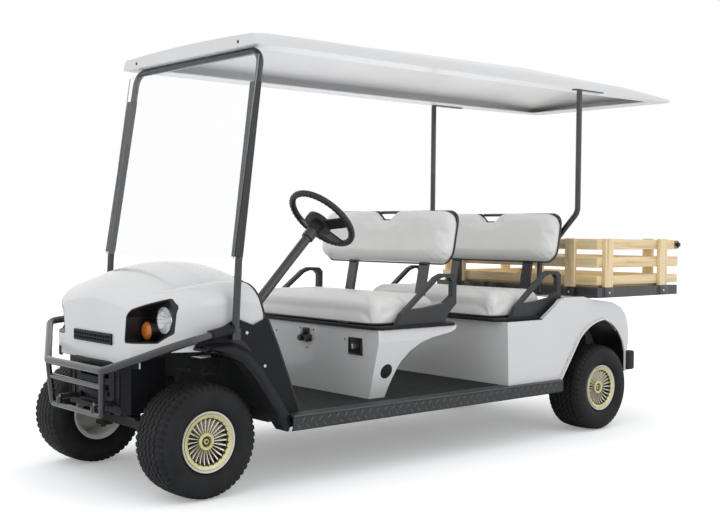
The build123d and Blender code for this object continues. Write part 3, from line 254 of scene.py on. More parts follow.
LENS_CLEAR = make_lens("lens_clear", (0.95, 0.96, 0.97), 0.92, 0.03)
LENS_AMBER = make_lens("lens_amber", (0.62, 0.17, 0.015), 0.15, 0.15)
LAMP_GLASS = make_glazing("lamp_glass", 0.22, (0.9, 0.92, 0.94))
BULB = moulded("lamp_bulb", (0.85, 0.85, 0.82), 0.2, grain=1500, depth=0.0001, mottle=0.04)


# ---------------------------------------------------------------- mesh helpers
def new_object(name, points, faces, materials, smooth=True, face_slots=None):
    """Mesh object from points and faces, with its normals made consistent."""
    mesh = bpy.data.meshes.new(name)
    mesh.from_pydata([tuple(p) for p in points], [], faces)
    for material in materials if isinstance(materials, (list, tuple)) else [materials]:
        mesh.materials.append(material)
    if face_slots:
        mesh.polygons.foreach_set("material_index", face_slots)
    build = bmesh.new()
    build.from_mesh(mesh)
    bmesh.ops.recalc_face_normals(build, faces=build.faces)
    build.to_mesh(mesh)
    build.free()
    mesh.polygons.foreach_set("use_smooth", [smooth] * len(mesh.polygons))
    obj = bpy.data.objects.new(name, mesh)
    bpy.context.scene.collection.objects.link(obj)
    return obj


def shade_by_angle(obj, degrees):
    """Smooth faces, with hard edges where they meet at more than this angle."""
    mesh = obj.data
    mesh.polygons.foreach_set("use_smooth", [True] * len(mesh.polygons))
    build = bmesh.new()
    build.from_mesh(mesh)
    limit = math.radians(degrees)
    for edge in build.edges:
        if len(edge.link_faces) == 2:
            edge.smooth = edge.calc_face_angle(0) < limit
    build.to_mesh(mesh)
    build.free()


class Shapes:
    """Collects many small shapes into one mesh, each with its own material number."""

    def __init__(self):
        self.points, self.faces, self.slots = [], [], []

    def add(self, points, faces, slot=0):
        start = len(self.points)
        self.points += [Vector(p) for p in points]
        self.faces += [tuple(start + i for i in face) for face in faces]
        self.slots += [slot] * len(faces)

    def rings(self, rings, slot=0, closed=False, caps=True):
        """Skin between rings of equal length; closed joins the last ring to the first."""
        count = len(rings[0])
        points = [p for ring in rings for p in ring]
        faces = []
        last = len(rings) if closed else len(rings) - 1
        for i in range(last):
            for j in range(count):
                a, b = i * count, ((i + 1) % len(rings)) * count
                k = (j + 1) % count
                faces.append((a + j, a + k, b + k, b + j))
        if caps and not closed:
            faces.append(tuple(range(count)))
            faces.append(tuple((len(rings) - 1) * count + j for j in range(count)))
        self.add(points, faces, slot)

    def box(self, low, high, bevel=0.0, slot=0, turn=None):
        """Box with bevelled edges, turned by a matrix when one is given."""
        build = bmesh.new()
        bmesh.ops.create_cube(build, size=1.0)
        size = Vector(high) - Vector(low)
        centre = (Vector(high) + Vector(low)) / 2
        for vertex in build.verts:
            vertex.co = Vector(c * s for c, s in zip(vertex.co, size))
        if bevel:
            bmesh.ops.bevel(build, geom=build.edges[:], offset=bevel, segments=3, profile=0.5, affect="EDGES")
        build.verts.ensure_lookup_table()
        points = [(turn @ v.co if turn else v.co) + centre for v in build.verts]
        self.add(points, [tuple(v.index for v in face.verts) for face in build.faces], slot)
        build.free()

    def block(self, side, xs, stations, zs, bevel=0.0, slot=0):
        """Box over ranges of X, distance and height, mirrored by side."""
        low_x, high_x = sorted(side * x for x in xs)
        self.box((low_x, behind(stations[0]), zs[0]), (high_x, behind(stations[1]), zs[1]), bevel, slot)

    def frame(self, xs, ys, zs, bar, bevel, slot=0):
        """Upright frame of four bars over ranges of X, Y and height."""
        (low_x, high_x), (low_z, high_z) = xs, zs
        for bar_xs, bar_zs in (
            (xs, (low_z, low_z + bar)), (xs, (high_z - bar, high_z)),
            ((low_x, low_x + bar), zs), ((high_x - bar, high_x), zs),
        ):
            self.box((bar_xs[0], ys[0], bar_zs[0]), (bar_xs[1], ys[1], bar_zs[1]), bevel, slot)

    def revolve(self, centre, outward, profile, steps=96, slot=0):
        """Closed loop of (x, radius) turned about a wheel's axle."""
        rings = []
        for step in range(steps):
            across, up = math.sin(TAU * step / steps), math.cos(TAU * step / steps)
            rings.append([centre + Vector((outward * x, r * across, r * up)) for x, r in profile])
        self.rings(rings, slot, closed=True)

    def lathe(self, origin, axis, profile, steps=24, slot=0):
        """Turned shape: profile is (along the axis, radius) from one end to the other."""
        axis = Vector(axis).normalized()
        side = axis.orthogonal().normalized()
        other = axis.cross(side)
        origin = Vector(origin)
        turns = [TAU * j / steps for j in range(steps)]
        rings = []
        for along, radius in profile:
            centre = origin + axis * along
            r = max(radius, 1e-5)
            rings.append([centre + (side * math.cos(a) + other * math.sin(a)) * r for a in turns])
        self.rings(rings, slot)

    def dome(self, origin, axis, radius, height, steps=12, slot=0):
        """Low round head that stands on a surface."""
        profile = [(-0.0005, radius)] + [
            (height * math.sin(a), radius * math.cos(a)) for a in (0.0, 0.5, 1.0, 1.35, 1.57)
        ]
        self.lathe(origin, axis, profile, steps, slot)

    def tube(self, path, radius, steps=10, slot=0, closed=False):
        """Round bar along a list of points."""
        path = [Vector(p) for p in path]
        count = len(path)
        turns = [TAU * j / steps for j in range(steps)]
        rings = []
        normal = None
        for i, point in enumerate(path):
            before = path[(i - 1) % count] if closed else path[max(i - 1, 0)]
            after = path[(i + 1) % count] if closed else path[min(i + 1, count - 1)]
            tangent = (after - before).normalized()
            if normal is None:
                normal = tangent.orthogonal().normalized()
            normal = (normal - tangent * normal.dot(tangent)).normalized()
            other = tangent.cross(normal)
            rings.append([point + (normal * math.cos(a) + other * math.sin(a)) * radius for a in turns])
        self.rings(rings, slot, closed=closed)

    def finish(self, name, materials, body="root", replaces=(), hard=None, smooth=True):
        """The object, on its body; its edges are hard where faces meet at more than this many degrees."""
        obj = new_object(name, self.points, self.faces, materials, smooth, self.slots)
        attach(obj, body)
        if replaces:
            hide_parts(*replaces)
        if hard:
            shade_by_angle(obj, hard)


def arc_points(start, middle_point, end, count):
    """Points on the arc through three points of a plane, from start, without the end."""
    (ax, ay), (bx, by), (cx, cy) = start, middle_point, end
    d = 2 * (ax * (by - cy) + bx * (cy - ay) + cx * (ay - by))
    a2, b2, c2 = ax * ax + ay * ay, bx * bx + by * by, cx * cx + cy * cy
    ux = (a2 * (by - cy) + b2 * (cy - ay) + c2 * (ay - by)) / d
    uy = (a2 * (cx - bx) + b2 * (ax - cx) + c2 * (bx - ax)) / d
    radius = math.hypot(ax - ux, ay - uy)
    first = math.atan2(ay - uy, ax - ux)
    mid = (math.atan2(by - uy, bx - ux) - first) % TAU
    turn = (math.atan2(cy - uy, cx - ux) - first) % TAU
    if mid > turn:
        turn -= TAU
    return [
        (ux + radius * math.cos(first + turn * i / count), uy + radius * math.sin(first + turn * i / count))
        for i in range(count)
    ]


def rounded_outline(corners, steps=8):
    """Closed outline from (x, y, radius) corners, each rounded by its radius."""
    outline = []
    count = len(corners)
    for i, (x, y, radius) in enumerate(corners):
        here = Vector((x, y))
        before = Vector(corners[i - 1][:2]) - here
        after = Vector(corners[(i + 1) % count][:2]) - here
        angle = before.angle(after)
        reach = radius / math.tan(angle / 2) if radius else 0
        start = here + before.normalized() * reach
        end = here + after.normalized() * reach
        if not radius:
            outline.append(tuple(here))
            continue
        bisector = (before.normalized() + after.normalized()).normalized()
        top = here + bisector * (radius / math.sin(angle / 2) - radius)
        outline += arc_points(tuple(start), tuple(top), tuple(end), steps) + [tuple(end)]
    return outline


# ---------------------------------------------------------------- wheels
TYRE_RADIUS = AXLE_HEIGHT
HALF_WIDTH = 0.108
HALF_TREAD = 0.092
BEAD_RADIUS = 0.1016
BEAD_TOP = 0.123
HALF_BEAD = 0.0847
TEETH = 50                 # zigzag pitches round the tread
TOOTH_STEPS = 8
GROOVES = (-0.058, -0.029, 0.0, 0.029, 0.058)
GROOVE_WIDTH = 0.0068
GROOVE_DEPTH = 0.0085
ZIGZAG = 0.0058
ZIGZAG_RISE = 0.625        # share of a pitch that runs one way
NOTCH_DEPTH = 0.0075
OUTER_POINTS = 16          # points of the section from the outer bead to the tread
WHEELS = ("front_left", "front_right", "rear_left", "rear_right")


def crown_height(x):
    """Radius of the tread's smooth surface across the tyre."""
    return TYRE_RADIUS - 0.004 * (x / 0.076) ** 2


def tyre_profile():
    """Closed section: (x, radius, share of the zigzag, share of the shoulder notch)."""
    side = arc_points((HALF_BEAD, BEAD_TOP), (HALF_WIDTH, 0.171), (HALF_TREAD, TYRE_RADIUS - 0.013), 12)
    section = [(HALF_BEAD, BEAD_RADIUS, 0, 0)]
    for x, radius in side:
        ring = 0.0016 if 0.148 < radius < 0.154 or 0.196 < radius < 0.2 else 0.0
        section.append((x + ring, radius, 0, 0))
    section += [
        (HALF_TREAD, TYRE_RADIUS - 0.013, 0, 1), (HALF_TREAD - 0.003, TYRE_RADIUS - 0.008, 0, 1),
        (HALF_TREAD - 0.009, TYRE_RADIUS - 0.0052, 0, 0.6),
    ]
    for groove in reversed(GROOVES):
        for offset, deep in ((1, 0), (0.72, 1), (-0.72, 1), (-1, 0)):
            x = groove + offset * GROOVE_WIDTH / 2
            section.append((x, crown_height(x) - deep * GROOVE_DEPTH, 1, 0))
        if groove > GROOVES[0]:
            x = groove - (GROOVES[1] - GROOVES[0]) / 2
            section.append((x, crown_height(x), 1, 0))
    section += [(-x, radius, zig, notch) for x, radius, zig, notch in reversed(section[:OUTER_POINTS])]
    inside = [(0.074, BEAD_RADIUS), (0.078, BEAD_TOP), (0.092, 0.17), (0.07, 0.2)]
    section += [(-x, radius, 0, 0) for x, radius in inside]
    section += [(x, radius, 0, 0) for x, radius in reversed(inside)]
    return section


def make_tyre(place, centre, outward):
    """Tyre with zigzag grooves and notched shoulders."""
    section = tyre_profile()
    steps = TEETH * TOOTH_STEPS
    rings = []
    for step in range(steps):
        angle = TAU * step / steps
        phase = (step % TOOTH_STEPS) / TOOTH_STEPS
        if phase <= ZIGZAG_RISE:
            zig = ZIGZAG * (phase / ZIGZAG_RISE * 2 - 1)
        else:
            zig = ZIGZAG * (1 - (phase - ZIGZAG_RISE) / (1 - ZIGZAG_RISE) * 2)
        notch = NOTCH_DEPTH if 0.55 < phase < 0.95 else 0.0
        ring = []
        for x, radius, follows, shoulder in section:
            r = radius - shoulder * notch
            place_x = outward * (x + follows * zig)
            ring.append(centre + Vector((place_x, r * math.sin(angle), r * math.cos(angle))))
        rings.append(ring)
    shapes = Shapes()
    shapes.rings(rings, closed=True)
    shapes.finish(f"tread_{place}", TYRE, f"wheel_{place}", [f"tyre_{place}"], 35)


FLANGE_RADIUS = 0.121
BARREL_RADIUS = 0.0973
RIM_HALF = 0.089
COVER_PLATE = 0.039
VANES = 26
NOTCHES = 26


def make_rim(place, centre, outward):
    """Pressed steel rim, seen as a bright flange round the cover and as a dish from inside."""
    profile = [
        (RIM_HALF - 0.005, 0.1195), (RIM_HALF - 0.002, 0.1208), (RIM_HALF + 0.002, FLANGE_RADIUS),
        (RIM_HALF + 0.005, 0.1202), (RIM_HALF + 0.006, 0.1185), (RIM_HALF + 0.005, 0.1165),
        (RIM_HALF, 0.1145), (RIM_HALF - 0.004, 0.109), (RIM_HALF - 0.008, 0.1015),
        (RIM_HALF - 0.016, BARREL_RADIUS),
        (COVER_PLATE + 0.004, BARREL_RADIUS), (COVER_PLATE, BARREL_RADIUS - 0.004), (COVER_PLATE, 0.06),
        (COVER_PLATE + 0.004, 0.05), (COVER_PLATE + 0.004, 0.0142), (COVER_PLATE - 0.005, 0.0142),
        (COVER_PLATE - 0.005, 0.048), (COVER_PLATE - 0.009, 0.058),
        (COVER_PLATE - 0.009, BARREL_RADIUS - 0.006),
        (COVER_PLATE - 0.005, BARREL_RADIUS), (-RIM_HALF + 0.01, BARREL_RADIUS), (-RIM_HALF, 0.104),
        (-RIM_HALF - 0.005, 0.1165), (-RIM_HALF - 0.006, 0.1185), (-RIM_HALF - 0.004, FLANGE_RADIUS),
        (-RIM_HALF + 0.005, 0.1195), (-RIM_HALF + 0.005, 0.1013), (0.0, 0.1008), (RIM_HALF - 0.005, 0.1013),
    ]
    shapes = Shapes()
    shapes.revolve(centre, outward, profile)
    shapes.finish(f"rim_{place}", RIM_ENAMEL, f"wheel_{place}", [f"wheel_rim_{place}"], 40)


def spokes(count, start=0.0):
    """Outward and crosswise directions of even spokes round a wheel."""
    for index in range(count):
        angle = TAU * (index + start) / count
        yield Vector((0, math.sin(angle), math.cos(angle))), Vector((0, math.cos(angle), -math.sin(angle)))


def make_cover(place, centre, outward):
    """Turbine cover: gold outer ring, notched edge, thin gold vanes over a black dish, gold hub."""
    shapes = Shapes()
    out = Vector((outward, 0, 0))
    gold, black, vane = 0, 1, 2
    # outer ring, a shallow cone that faces outward
    ring = [(0.0890, 0.1095), (0.0915, 0.1080), (0.0890, 0.0965), (0.0860, 0.0930), (0.0800, 0.0930),
            (0.0800, 0.1010), (0.0850, 0.1080)]
    shapes.revolve(centre, outward, ring, slot=gold)
    dish = [(0.0835, 0.0932), (0.0815, 0.0905), (0.062, 0.086), (0.052, 0.05), (0.0505, 0.018),
            (0.0455, 0.018), (0.047, 0.05), (0.057, 0.087), (0.078, 0.0940)]
    shapes.revolve(centre, outward, dish, slot=black)
    # vanes, leaning and wider toward the ring: radius, width, height, foot
    for radial, across in spokes(VANES, 0.5):
        rings = []
        lean = across * 0.0022
        for radius, width, height, foot in (
            (0.030, 0.0018, 0.070, 0.052), (0.045, 0.0026, 0.0715, 0.053), (0.065, 0.0042, 0.0740, 0.057),
            (0.079, 0.0060, 0.0775, 0.062), (0.0895, 0.0064, 0.0815, 0.072),
        ):
            base = centre + radial * radius
            top = base + lean + out * height
            rings.append([
                base + across * (width / 2) + out * foot, top + across * (width * 0.4),
                top - across * (width * 0.4) - out * 0.0006, base - across * (width / 2) + out * foot,
            ])
        shapes.rings(rings, vane)
    # raised black teeth at the ring's inner edge: radius, width, height
    for radial, across in spokes(NOTCHES):
        rings = []
        for radius, width, high in ((0.0860, 0.0035, 0.0820), (0.0955, 0.0085, 0.0884)):
            base = centre + radial * radius
            half = across * width / 2
            rings.append([base + half + out * 0.066, base + half + out * high,
                          base - half + out * high, base - half + out * 0.066])
        shapes.rings(rings, black)
    # hub: gold ring, black well and a gold nut
    hub = [(0.046, 0.0350), (0.0745, 0.0350), (0.0770, 0.0325), (0.0770, 0.0225), (0.071, 0.0195),
           (0.046, 0.0195)]
    shapes.revolve(centre, outward, hub, 64, gold)
    well = [(0.050, 0.0196), (0.064, 0.0196), (0.0645, 0.012), (0.0645, 0.0)]
    nut = [(0.0640, 0.0118), (0.0735, 0.0118), (0.0750, 0.0100), (0.0750, 0.0062)]
    stub = [(0.0745, 0.0060), (0.0765, 0.0060), (0.0765, 0.0030), (0.0745, 0.0)]
    for profile, steps, slot in ((well, 48, black), (nut, 6, gold), (stub, 24, black)):
        shapes.lathe(centre, out, profile, steps, slot)
    # the vanes' lighter gold is painted highlight on the cover's gold
    finishes = [GOLD, COVER_BLACK, VANE_HIGHLIT_GOLD]
    shapes.finish(f"cover_{place}", finishes, f"wheel_{place}", hard=30)


for place in WHEELS:
    hub_centre = middle(f"tyre_{place}")
    hub_centre.z = AXLE_HEIGHT
    outward = 1 if hub_centre.x > 0 else -1
    make_tyre(place, hub_centre, outward)
    make_rim(place, hub_centre, outward)
    make_cover(place, hub_centre, outward)


# ---------------------------------------------------------------- finishes of the CAD pieces
FINISHES = (
    (PAINT, "front_cowl front_seat_pod rear_body"),
    (ROOF_WHITE, "canopy"),
    (CHARCOAL, "front_aprons front_fascia dash_panel seat_trays nose_grille rear_bumper"),
    (SILL_PLASTIC, "sill_covers hip_restraints windshield_strips"),
    (COVER_BLACK, "lamp_bezels"),
    (GUARD_STEEL, "brush_guard"),
    (GRIP, "pedals steering_wheel"),
    (STEEL, "front_hoop rear_struts seat_back_frames bed_frame steering_column"),
    (IRON, "chassis_frame tie_rod front_axle rear_axle leaf_springs knuckle_left knuckle_right engine"),
    (MAT_RUBBER, "floor_panel"),
    (GLAZING, "windshield"),
    (LENS_CLEAR, "headlamp_lenses"),
    (LENS_AMBER, "turn_lenses"),
    (WOOD[1], "bed_floor bed_sides"),
    (WOOD[0], "tailgate"),
    (VINYL, "seat_backs front_seat_cushion rear_seat_cushion"),
)
for material, names in FINISHES:
    for name in names.split():
        nodes[name].data.materials.clear()
        nodes[name].data.materials.append(material)
        shade_by_angle(nodes[name], 32)


# ---------------------------------------------------------------- lamps
def make_headlamps():
    """Chrome bowl with a bulb behind a clear domed glass, one on each side."""
    low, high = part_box("headlamp_lenses")
    radius = (high.z - low.z) / 2
    shapes = Shapes()
    chrome, glass, bulb = 0, 1, 2
    forward = (0, -1, 0)
    for side in (1, -1):
        front = Vector((side * (high.x - radius), low.y, (low.z + high.z) / 2))
        depth = high.y - low.y
        bowl = [(-depth, 0.0), (-depth, radius), (-0.002, radius), (-0.002, radius - 0.003),
                (-0.009, radius * 0.86), (-0.015, radius * 0.6), (-0.018, radius * 0.3), (-0.018, 0.0)]
        shapes.lathe(front, forward, bowl, 48, chrome)
        # facets moulded in the bowl
        for index in range(16):
            angle = TAU * index / 16
            radial = Vector((math.cos(angle), 0, math.sin(angle)))
            start = front + radial * radius * 0.3 + Vector((0, 0.0172, 0))
            end = front + radial * radius * 0.9 + Vector((0, 0.0075, 0))
            shapes.tube([start, (start + end) / 2 + Vector((0, 0.0015, 0)), end], 0.0012, 6, chrome)
        glow = [(-0.018, 0.010), (-0.009, 0.010), (-0.006, 0.007), (-0.005, 0.0)]
        shapes.lathe(front, forward, glow, 24, bulb)
        dome = [(-0.0019, radius), (0.0, radius), (0.004, radius * 0.88), (0.007, radius * 0.6), (0.008, 0.0)]
        shapes.lathe(front, forward, dome, 48, glass)
    shapes.finish("headlamps", [CHROME, LAMP_GLASS, BULB], "root", ["headlamp_lenses"], 35)


def make_turn_faces():
    """Domed faces of the amber lamps."""
    low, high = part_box("turn_lenses")
    radius = (high.z - low.z) / 2
    shapes = Shapes()
    for side in (1, -1):
        front = Vector((side * (high.x - radius), low.y, (low.z + high.z) / 2))
        profile = [(-0.0005, radius - 0.004), (0.003, radius * 0.8), (0.0055, radius * 0.5), (0.0065, 0.0)]
        shapes.lathe(front, (0, -1, 0), profile, 40)
    shapes.finish("turn_lamp_faces", LENS_AMBER, hard=40)


make_headlamps()
make_turn_faces()

# the windshield's narrow edges catch the light
windshield = nodes["windshield"]
windshield.data.materials.append(GLAZING_EDGE)
for face in windshield.data.polygons:
    face.material_index = 0 if abs(face.normal.y) > 0.9 else 1


# ---------------------------------------------------------------- cushions
BENCHES = (("front", 0.0), ("rear", 0.793))     # name, distance behind the front bench
CLOTH_FRAMES = 20
RIM_STEPS = 5              # facets of a rounded rim


def remesh(obj, voxel):
    """Even quads all over, so that the cloth swells evenly."""
    modifier = obj.modifiers.new("even", "REMESH")
    modifier.mode = "VOXEL"
    modifier.voxel_size = voxel
    bake_modifiers(obj)


def bake_modifiers(obj):
    """Replace the mesh by its evaluated one, and drop the modifiers."""
    graph = bpy.context.evaluated_depsgraph_get()
    mesh = bpy.data.meshes.new_from_object(obj.evaluated_get(graph))
    materials = list(obj.data.materials)
    obj.modifiers.clear()
    obj.data = mesh
    mesh.materials.clear()
    for material in materials:
        mesh.materials.append(material)


def inflate(obj, pinned, pressure, cap):
    """Swell a closed skin by cloth pressure, hold its pinned points, and cap how far a point moves."""
    rest = [v.co.copy() for v in obj.data.vertices]
    group = obj.vertex_groups.new(name="held")
    group.add([i for i, point in enumerate(rest) if pinned(point)], 1.0, "REPLACE")
    cloth = obj.modifiers.new("cloth", "CLOTH")
    cloth.settings.use_pressure = True
    cloth.settings.uniform_pressure_force = pressure
    cloth.settings.vertex_group_mass = "held"
    cloth.settings.effector_weights.gravity = 0
    cloth.settings.tension_stiffness = 22
    cloth.settings.compression_stiffness = 22
    cloth.point_cache.frame_end = CLOTH_FRAMES
    for number in range(1, CLOTH_FRAMES + 1):
        bpy.context.scene.frame_set(number)
    graph = bpy.context.evaluated_depsgraph_get()
    swollen = [v.co.copy() for v in obj.evaluated_get(graph).data.vertices]
    obj.modifiers.clear()
    for vertex, start, end in zip(obj.data.vertices, rest, swollen):
        move = end - start
        vertex.co = start + (move if move.length <= cap else move.normalized() * cap)
    obj.vertex_groups.clear()
    bpy.context.scene.frame_set(1)


def smooth_once(obj):
    """One subdivision with smooth shading."""
    modifier = obj.modifiers.new("smooth", "SUBSURF")
    modifier.levels = modifier.render_levels = 1
    bake_modifiers(obj)
    obj.data.polygons.foreach_set("use_smooth", [True] * len(obj.data.polygons))


def prism(name, outline, low, high, bevel_low, bevel_high, material):
    """Closed prism over an (x, y) outline, with rounded lower and upper rims."""
    rings = []
    centre = Vector((sum(p[0] for p in outline) / len(outline), sum(p[1] for p in outline) / len(outline)))

    def ring(inset, z):
        points = []
        for i, point in enumerate(outline):
            before, after = Vector(outline[i - 1]), Vector(outline[(i + 1) % len(outline)])
            along = (after - before).normalized()
            inward = Vector((-along.y, along.x))
            if inward.dot(centre - Vector(point)) < 0:
                inward = -inward
            moved = Vector(point) + inward * inset
            points.append((moved.x, moved.y, z))
        return points

    turns = [math.pi / 2 * i / RIM_STEPS for i in range(RIM_STEPS + 1)]
    for a in turns:
        rings.append(ring(bevel_low * (1 - math.sin(a)), low + bevel_low * (1 - math.cos(a))))
    for a in turns:
        rings.append(ring(bevel_high * (1 - math.cos(a)), high - bevel_high * (1 - math.sin(a))))
    shapes = Shapes()
    shapes.rings(rings)
    return new_object(name, shapes.points, shapes.faces, material)


CUSHION_HALF = 0.472
CUSHION_DEPTH = 0.432
CUSHION_VOXEL = 0.011
CLOTH_PRESSURE = 5.0


def cushion_outline(y_front):
    """Plan of a bench cushion: full width in front, drawn in at the back beside the hip restraints."""
    half, waist = CUSHION_HALF, CUSHION_HALF - 0.022
    back = y_front + CUSHION_DEPTH
    corners = [
        (-half, y_front, 0.055), (half, y_front, 0.055), (half, y_front + 0.20, 0.03),
        (waist, y_front + 0.235, 0.03), (waist, back, 0.045), (-waist, back, 0.045),
        (-waist, y_front + 0.235, 0.03), (-half, y_front + 0.20, 0.03),
    ]
    return rounded_outline(corners)


def make_cushion(bench):
    """Bench cushion swollen over its tray, with dark piping along its foot."""
    low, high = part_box(f"{bench}_seat_cushion")
    outline = cushion_outline(low.y + 0.006)
    body = prism(f"cushion_{bench}", outline, low.z, high.z - 0.014, 0.004, 0.034, VINYL)
    remesh(body, CUSHION_VOXEL)
    inflate(body, lambda p: p.z < low.z + 0.012, CLOTH_PRESSURE, 0.016)
    smooth_once(body)
    for vertex in body.data.vertices:
        vertex.co.z = max(vertex.co.z, low.z)
    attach(body, f"{bench}_seat")
    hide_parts(f"{bench}_seat_cushion")
    welt = Shapes()
    welt.tube([(x, y, low.z + 0.007) for x, y in outline], 0.0045, 8, closed=True)
    welt.finish(f"cushion_welt_{bench}", PIPING, f"{bench}_seat")


BACK_LEAN = math.radians(11)
BACK_BOTTOM = 0.913
BACK_FRONT_D = 1.340
BACK_HALF = 0.476
BACK_HEIGHT = 0.268
BACK_THICKNESS = 0.086
BACK_RIM = 0.034


def back_point(pitch, x, up, inward):
    """Point on a seat back: up along its lean from the lower edge, inward from its front face."""
    y = behind(BACK_FRONT_D + pitch) + up * math.sin(BACK_LEAN) + inward * math.cos(BACK_LEAN)
    return Vector((x, y, BACK_BOTTOM + up * math.cos(BACK_LEAN) - inward * math.sin(BACK_LEAN)))


def back_outline(inset):
    """Face of a seat back with the hand notch in its top edge, as (x, up)."""
    half, top, low = BACK_HALF - inset, BACK_HEIGHT - inset, inset
    notch = [
        (0.098 + inset * 0.6, top, 0.025), (0.042, top - 0.046 - inset * 0.4, 0.03),
        (-0.042, top - 0.046 - inset * 0.4, 0.03), (-0.098 - inset * 0.6, top, 0.025),
    ]
    corners = [
        (-half, low, 0.07), (half, low, 0.07), (half, top - 0.004, 0.075), *notch,
        (-half, top - 0.004, 0.075),
    ]
    return rounded_outline(corners)


def make_seat_back(bench, pitch):
    """Seat back swollen from its board, with dark piping round its rear edge."""
    rings = [
        [(x, up, BACK_THICKNESS - 0.001) for x, up in back_outline(0.010)],
        [(x, up, BACK_THICKNESS - 0.008) for x, up in back_outline(0.005)],
    ]
    for i in range(RIM_STEPS + 1):
        angle = math.pi / 2 * i / RIM_STEPS
        outline = back_outline(0.005 + BACK_RIM * 0.8 * (1 - math.cos(angle)))
        rings.append([(x, up, 0.012 + BACK_RIM * (1 - math.sin(angle))) for x, up in outline])
    shapes = Shapes()
    shapes.rings(rings)
    pad = new_object(f"back_{bench}", shapes.points, shapes.faces, VINYL)
    remesh(pad, CUSHION_VOXEL)
    inflate(pad, lambda p: p.z > BACK_THICKNESS - 0.012, CLOTH_PRESSURE, 0.014)
    smooth_once(pad)
    for vertex in pad.data.vertices:
        vertex.co = back_point(pitch, vertex.co.x, vertex.co.y, max(vertex.co.z, 0.0))
    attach(pad, "root")
    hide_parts("seat_backs")
    welt = Shapes()
    path = [back_point(pitch, x, up, BACK_THICKNESS - 0.006) for x, up in back_outline(0.003)]
    welt.tube(path, 0.0042, 8, closed=True)
    welt.finish(f"back_welt_{bench}", PIPING)


for bench, pitch in BENCHES:
    make_cushion(bench)
    make_seat_back(bench, pitch)


# ---------------------------------------------------------------- stake bed
BOLT_RADIUS = 0.005
SLAT_LEVELS = ((0.778, 0.828), (0.872, 0.928), (0.970, 1.023))
BED_FRONT, BED_REAR, BED_HALF = 2.410, 3.172, 0.596
RAIL_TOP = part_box("bed_sides")[0].z
STAKE_THICKNESS = 0.024
SLAT_THICKNESS = 0.020
STAKE_TOP = SLAT_LEVELS[-1][1] + 0.006
SIDE_STAKES = (2.478, 2.996)   # distance of each side stake's front edge
SIDE_STAKE_WIDTH = 0.072
GATE_STAKE_X = 0.407
GATE_STAKE_HALF = 0.032
EYE_HALF = 0.0367          # half length of a hinge eye
EASE = 0.0025              # rounded edge of a plank


def screw_places(*across):
    """Places of the two screws of each slat at a stake: (across the stake, height)."""
    for low_z, high_z in SLAT_LEVELS:
        for place, up in zip(across, (0.3, 0.7)):
            yield place, low_z + (high_z - low_z) * up


def make_bed_sides():
    """Slats and stakes of the two long sides and the head, in their own grain directions."""
    shapes = Shapes()
    bolts = Shapes()
    along_x, along_y, along_z = 0, 1, 2
    outer = BED_HALF - STAKE_THICKNESS
    inner = outer - SLAT_THICKNESS
    head = (BED_FRONT, BED_FRONT + STAKE_THICKNESS)
    slat_start = head[1] + SLAT_THICKNESS + 0.0005
    for side in (1, -1):
        out = Vector((side, 0, 0))
        for level in SLAT_LEVELS:
            shapes.block(side, (inner, outer), (slat_start, BED_REAR + 0.040), level, EASE, along_y)
        for stake_d in SIDE_STAKES:
            stations = (stake_d, stake_d + SIDE_STAKE_WIDTH)
            shapes.block(side, (outer, BED_HALF), stations, (RAIL_TOP, STAKE_TOP), EASE, along_z)
            for across, z in screw_places(0.018, 0.054):
                y = behind(stake_d + across)
                bolts.dome((side * BED_HALF, y, z), out, BOLT_RADIUS, 0.0022)
                bolts.dome((side * inner, y, z), -out, BOLT_RADIUS, 0.002)
    for level in SLAT_LEVELS:
        shapes.block(1, (-outer, outer), (head[1], head[1] + SLAT_THICKNESS), level, EASE, along_x)
    stake = (GATE_STAKE_X - GATE_STAKE_HALF, GATE_STAKE_X + GATE_STAKE_HALF)
    for side in (1, -1):
        shapes.block(side, stake, head, (RAIL_TOP, STAKE_TOP), EASE, along_z)
        for across, z in screw_places(-0.014, 0.014):
            bolts.dome((side * GATE_STAKE_X + across, behind(BED_FRONT), z), (0, -1, 0), BOLT_RADIUS, 0.0022)
    shapes.finish("stake_sides", WOOD, "root", ["bed_sides"], 40)
    bolts.finish("stake_bolts", ZINC)


def make_tailgate():
    """Drop gate: three slats on two stakes, each with its hinge eye."""
    shapes = Shapes()
    bolts = Shapes()
    along_x, along_z, steel = 0, 1, 2
    half = BED_HALF - STAKE_THICKNESS - SLAT_THICKNESS - 0.007
    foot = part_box("tailgate")[0].z + 0.0005
    stakes_d = BED_REAR - STAKE_THICKNESS
    for level in SLAT_LEVELS:
        shapes.block(1, (-half, half), (stakes_d - SLAT_THICKNESS, stakes_d), level, EASE, along_x)
    for side in (1, -1):
        stake = side * GATE_STAKE_X
        xs = (stake - GATE_STAKE_HALF, stake + GATE_STAKE_HALF)
        shapes.block(1, xs, (stakes_d, BED_REAR), (foot, STAKE_TOP), EASE, along_z)
        for across, z in screw_places(-0.014, 0.014):
            bolts.dome((stake + across, behind(BED_REAR), z), (0, 1, 0), BOLT_RADIUS, 0.0022)
        # hinge eye, as in the frame
        bore, wall, length = 0.0036, 0.008, 2 * EYE_HALF
        start = (stake - EYE_HALF, behind(BED_REAR + 0.008), 0.783)
        shapes.lathe(start, (1, 0, 0), [(0, bore), (0, wall), (length, wall), (length, bore)], 24, steel)
        xs = (stake - EYE_HALF, stake + EYE_HALF)
        shapes.block(1, xs, (BED_REAR - 0.001, BED_REAR + 0.004), (0.778, 0.803), 0.001, steel)
    shapes.finish("drop_gate", [WOOD[0], WOOD[2], STEEL], "tailgate", ["tailgate"], 40)
    bolts.finish("gate_bolts", ZINC, "tailgate")


def make_bed_floor():
    """Floor boards with eased edges."""
    shapes = Shapes()
    low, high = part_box("bed_floor")
    count, gap = 7, 0.002
    width = (high.x - low.x + gap) / count
    for board in range(count):
        x = low.x + board * width
        shapes.box((x, low.y, low.z), (x + width - gap, high.y, high.z), 0.0015)
    shapes.finish("floor_boards", WOOD[1], "root", ["bed_floor"], 40)


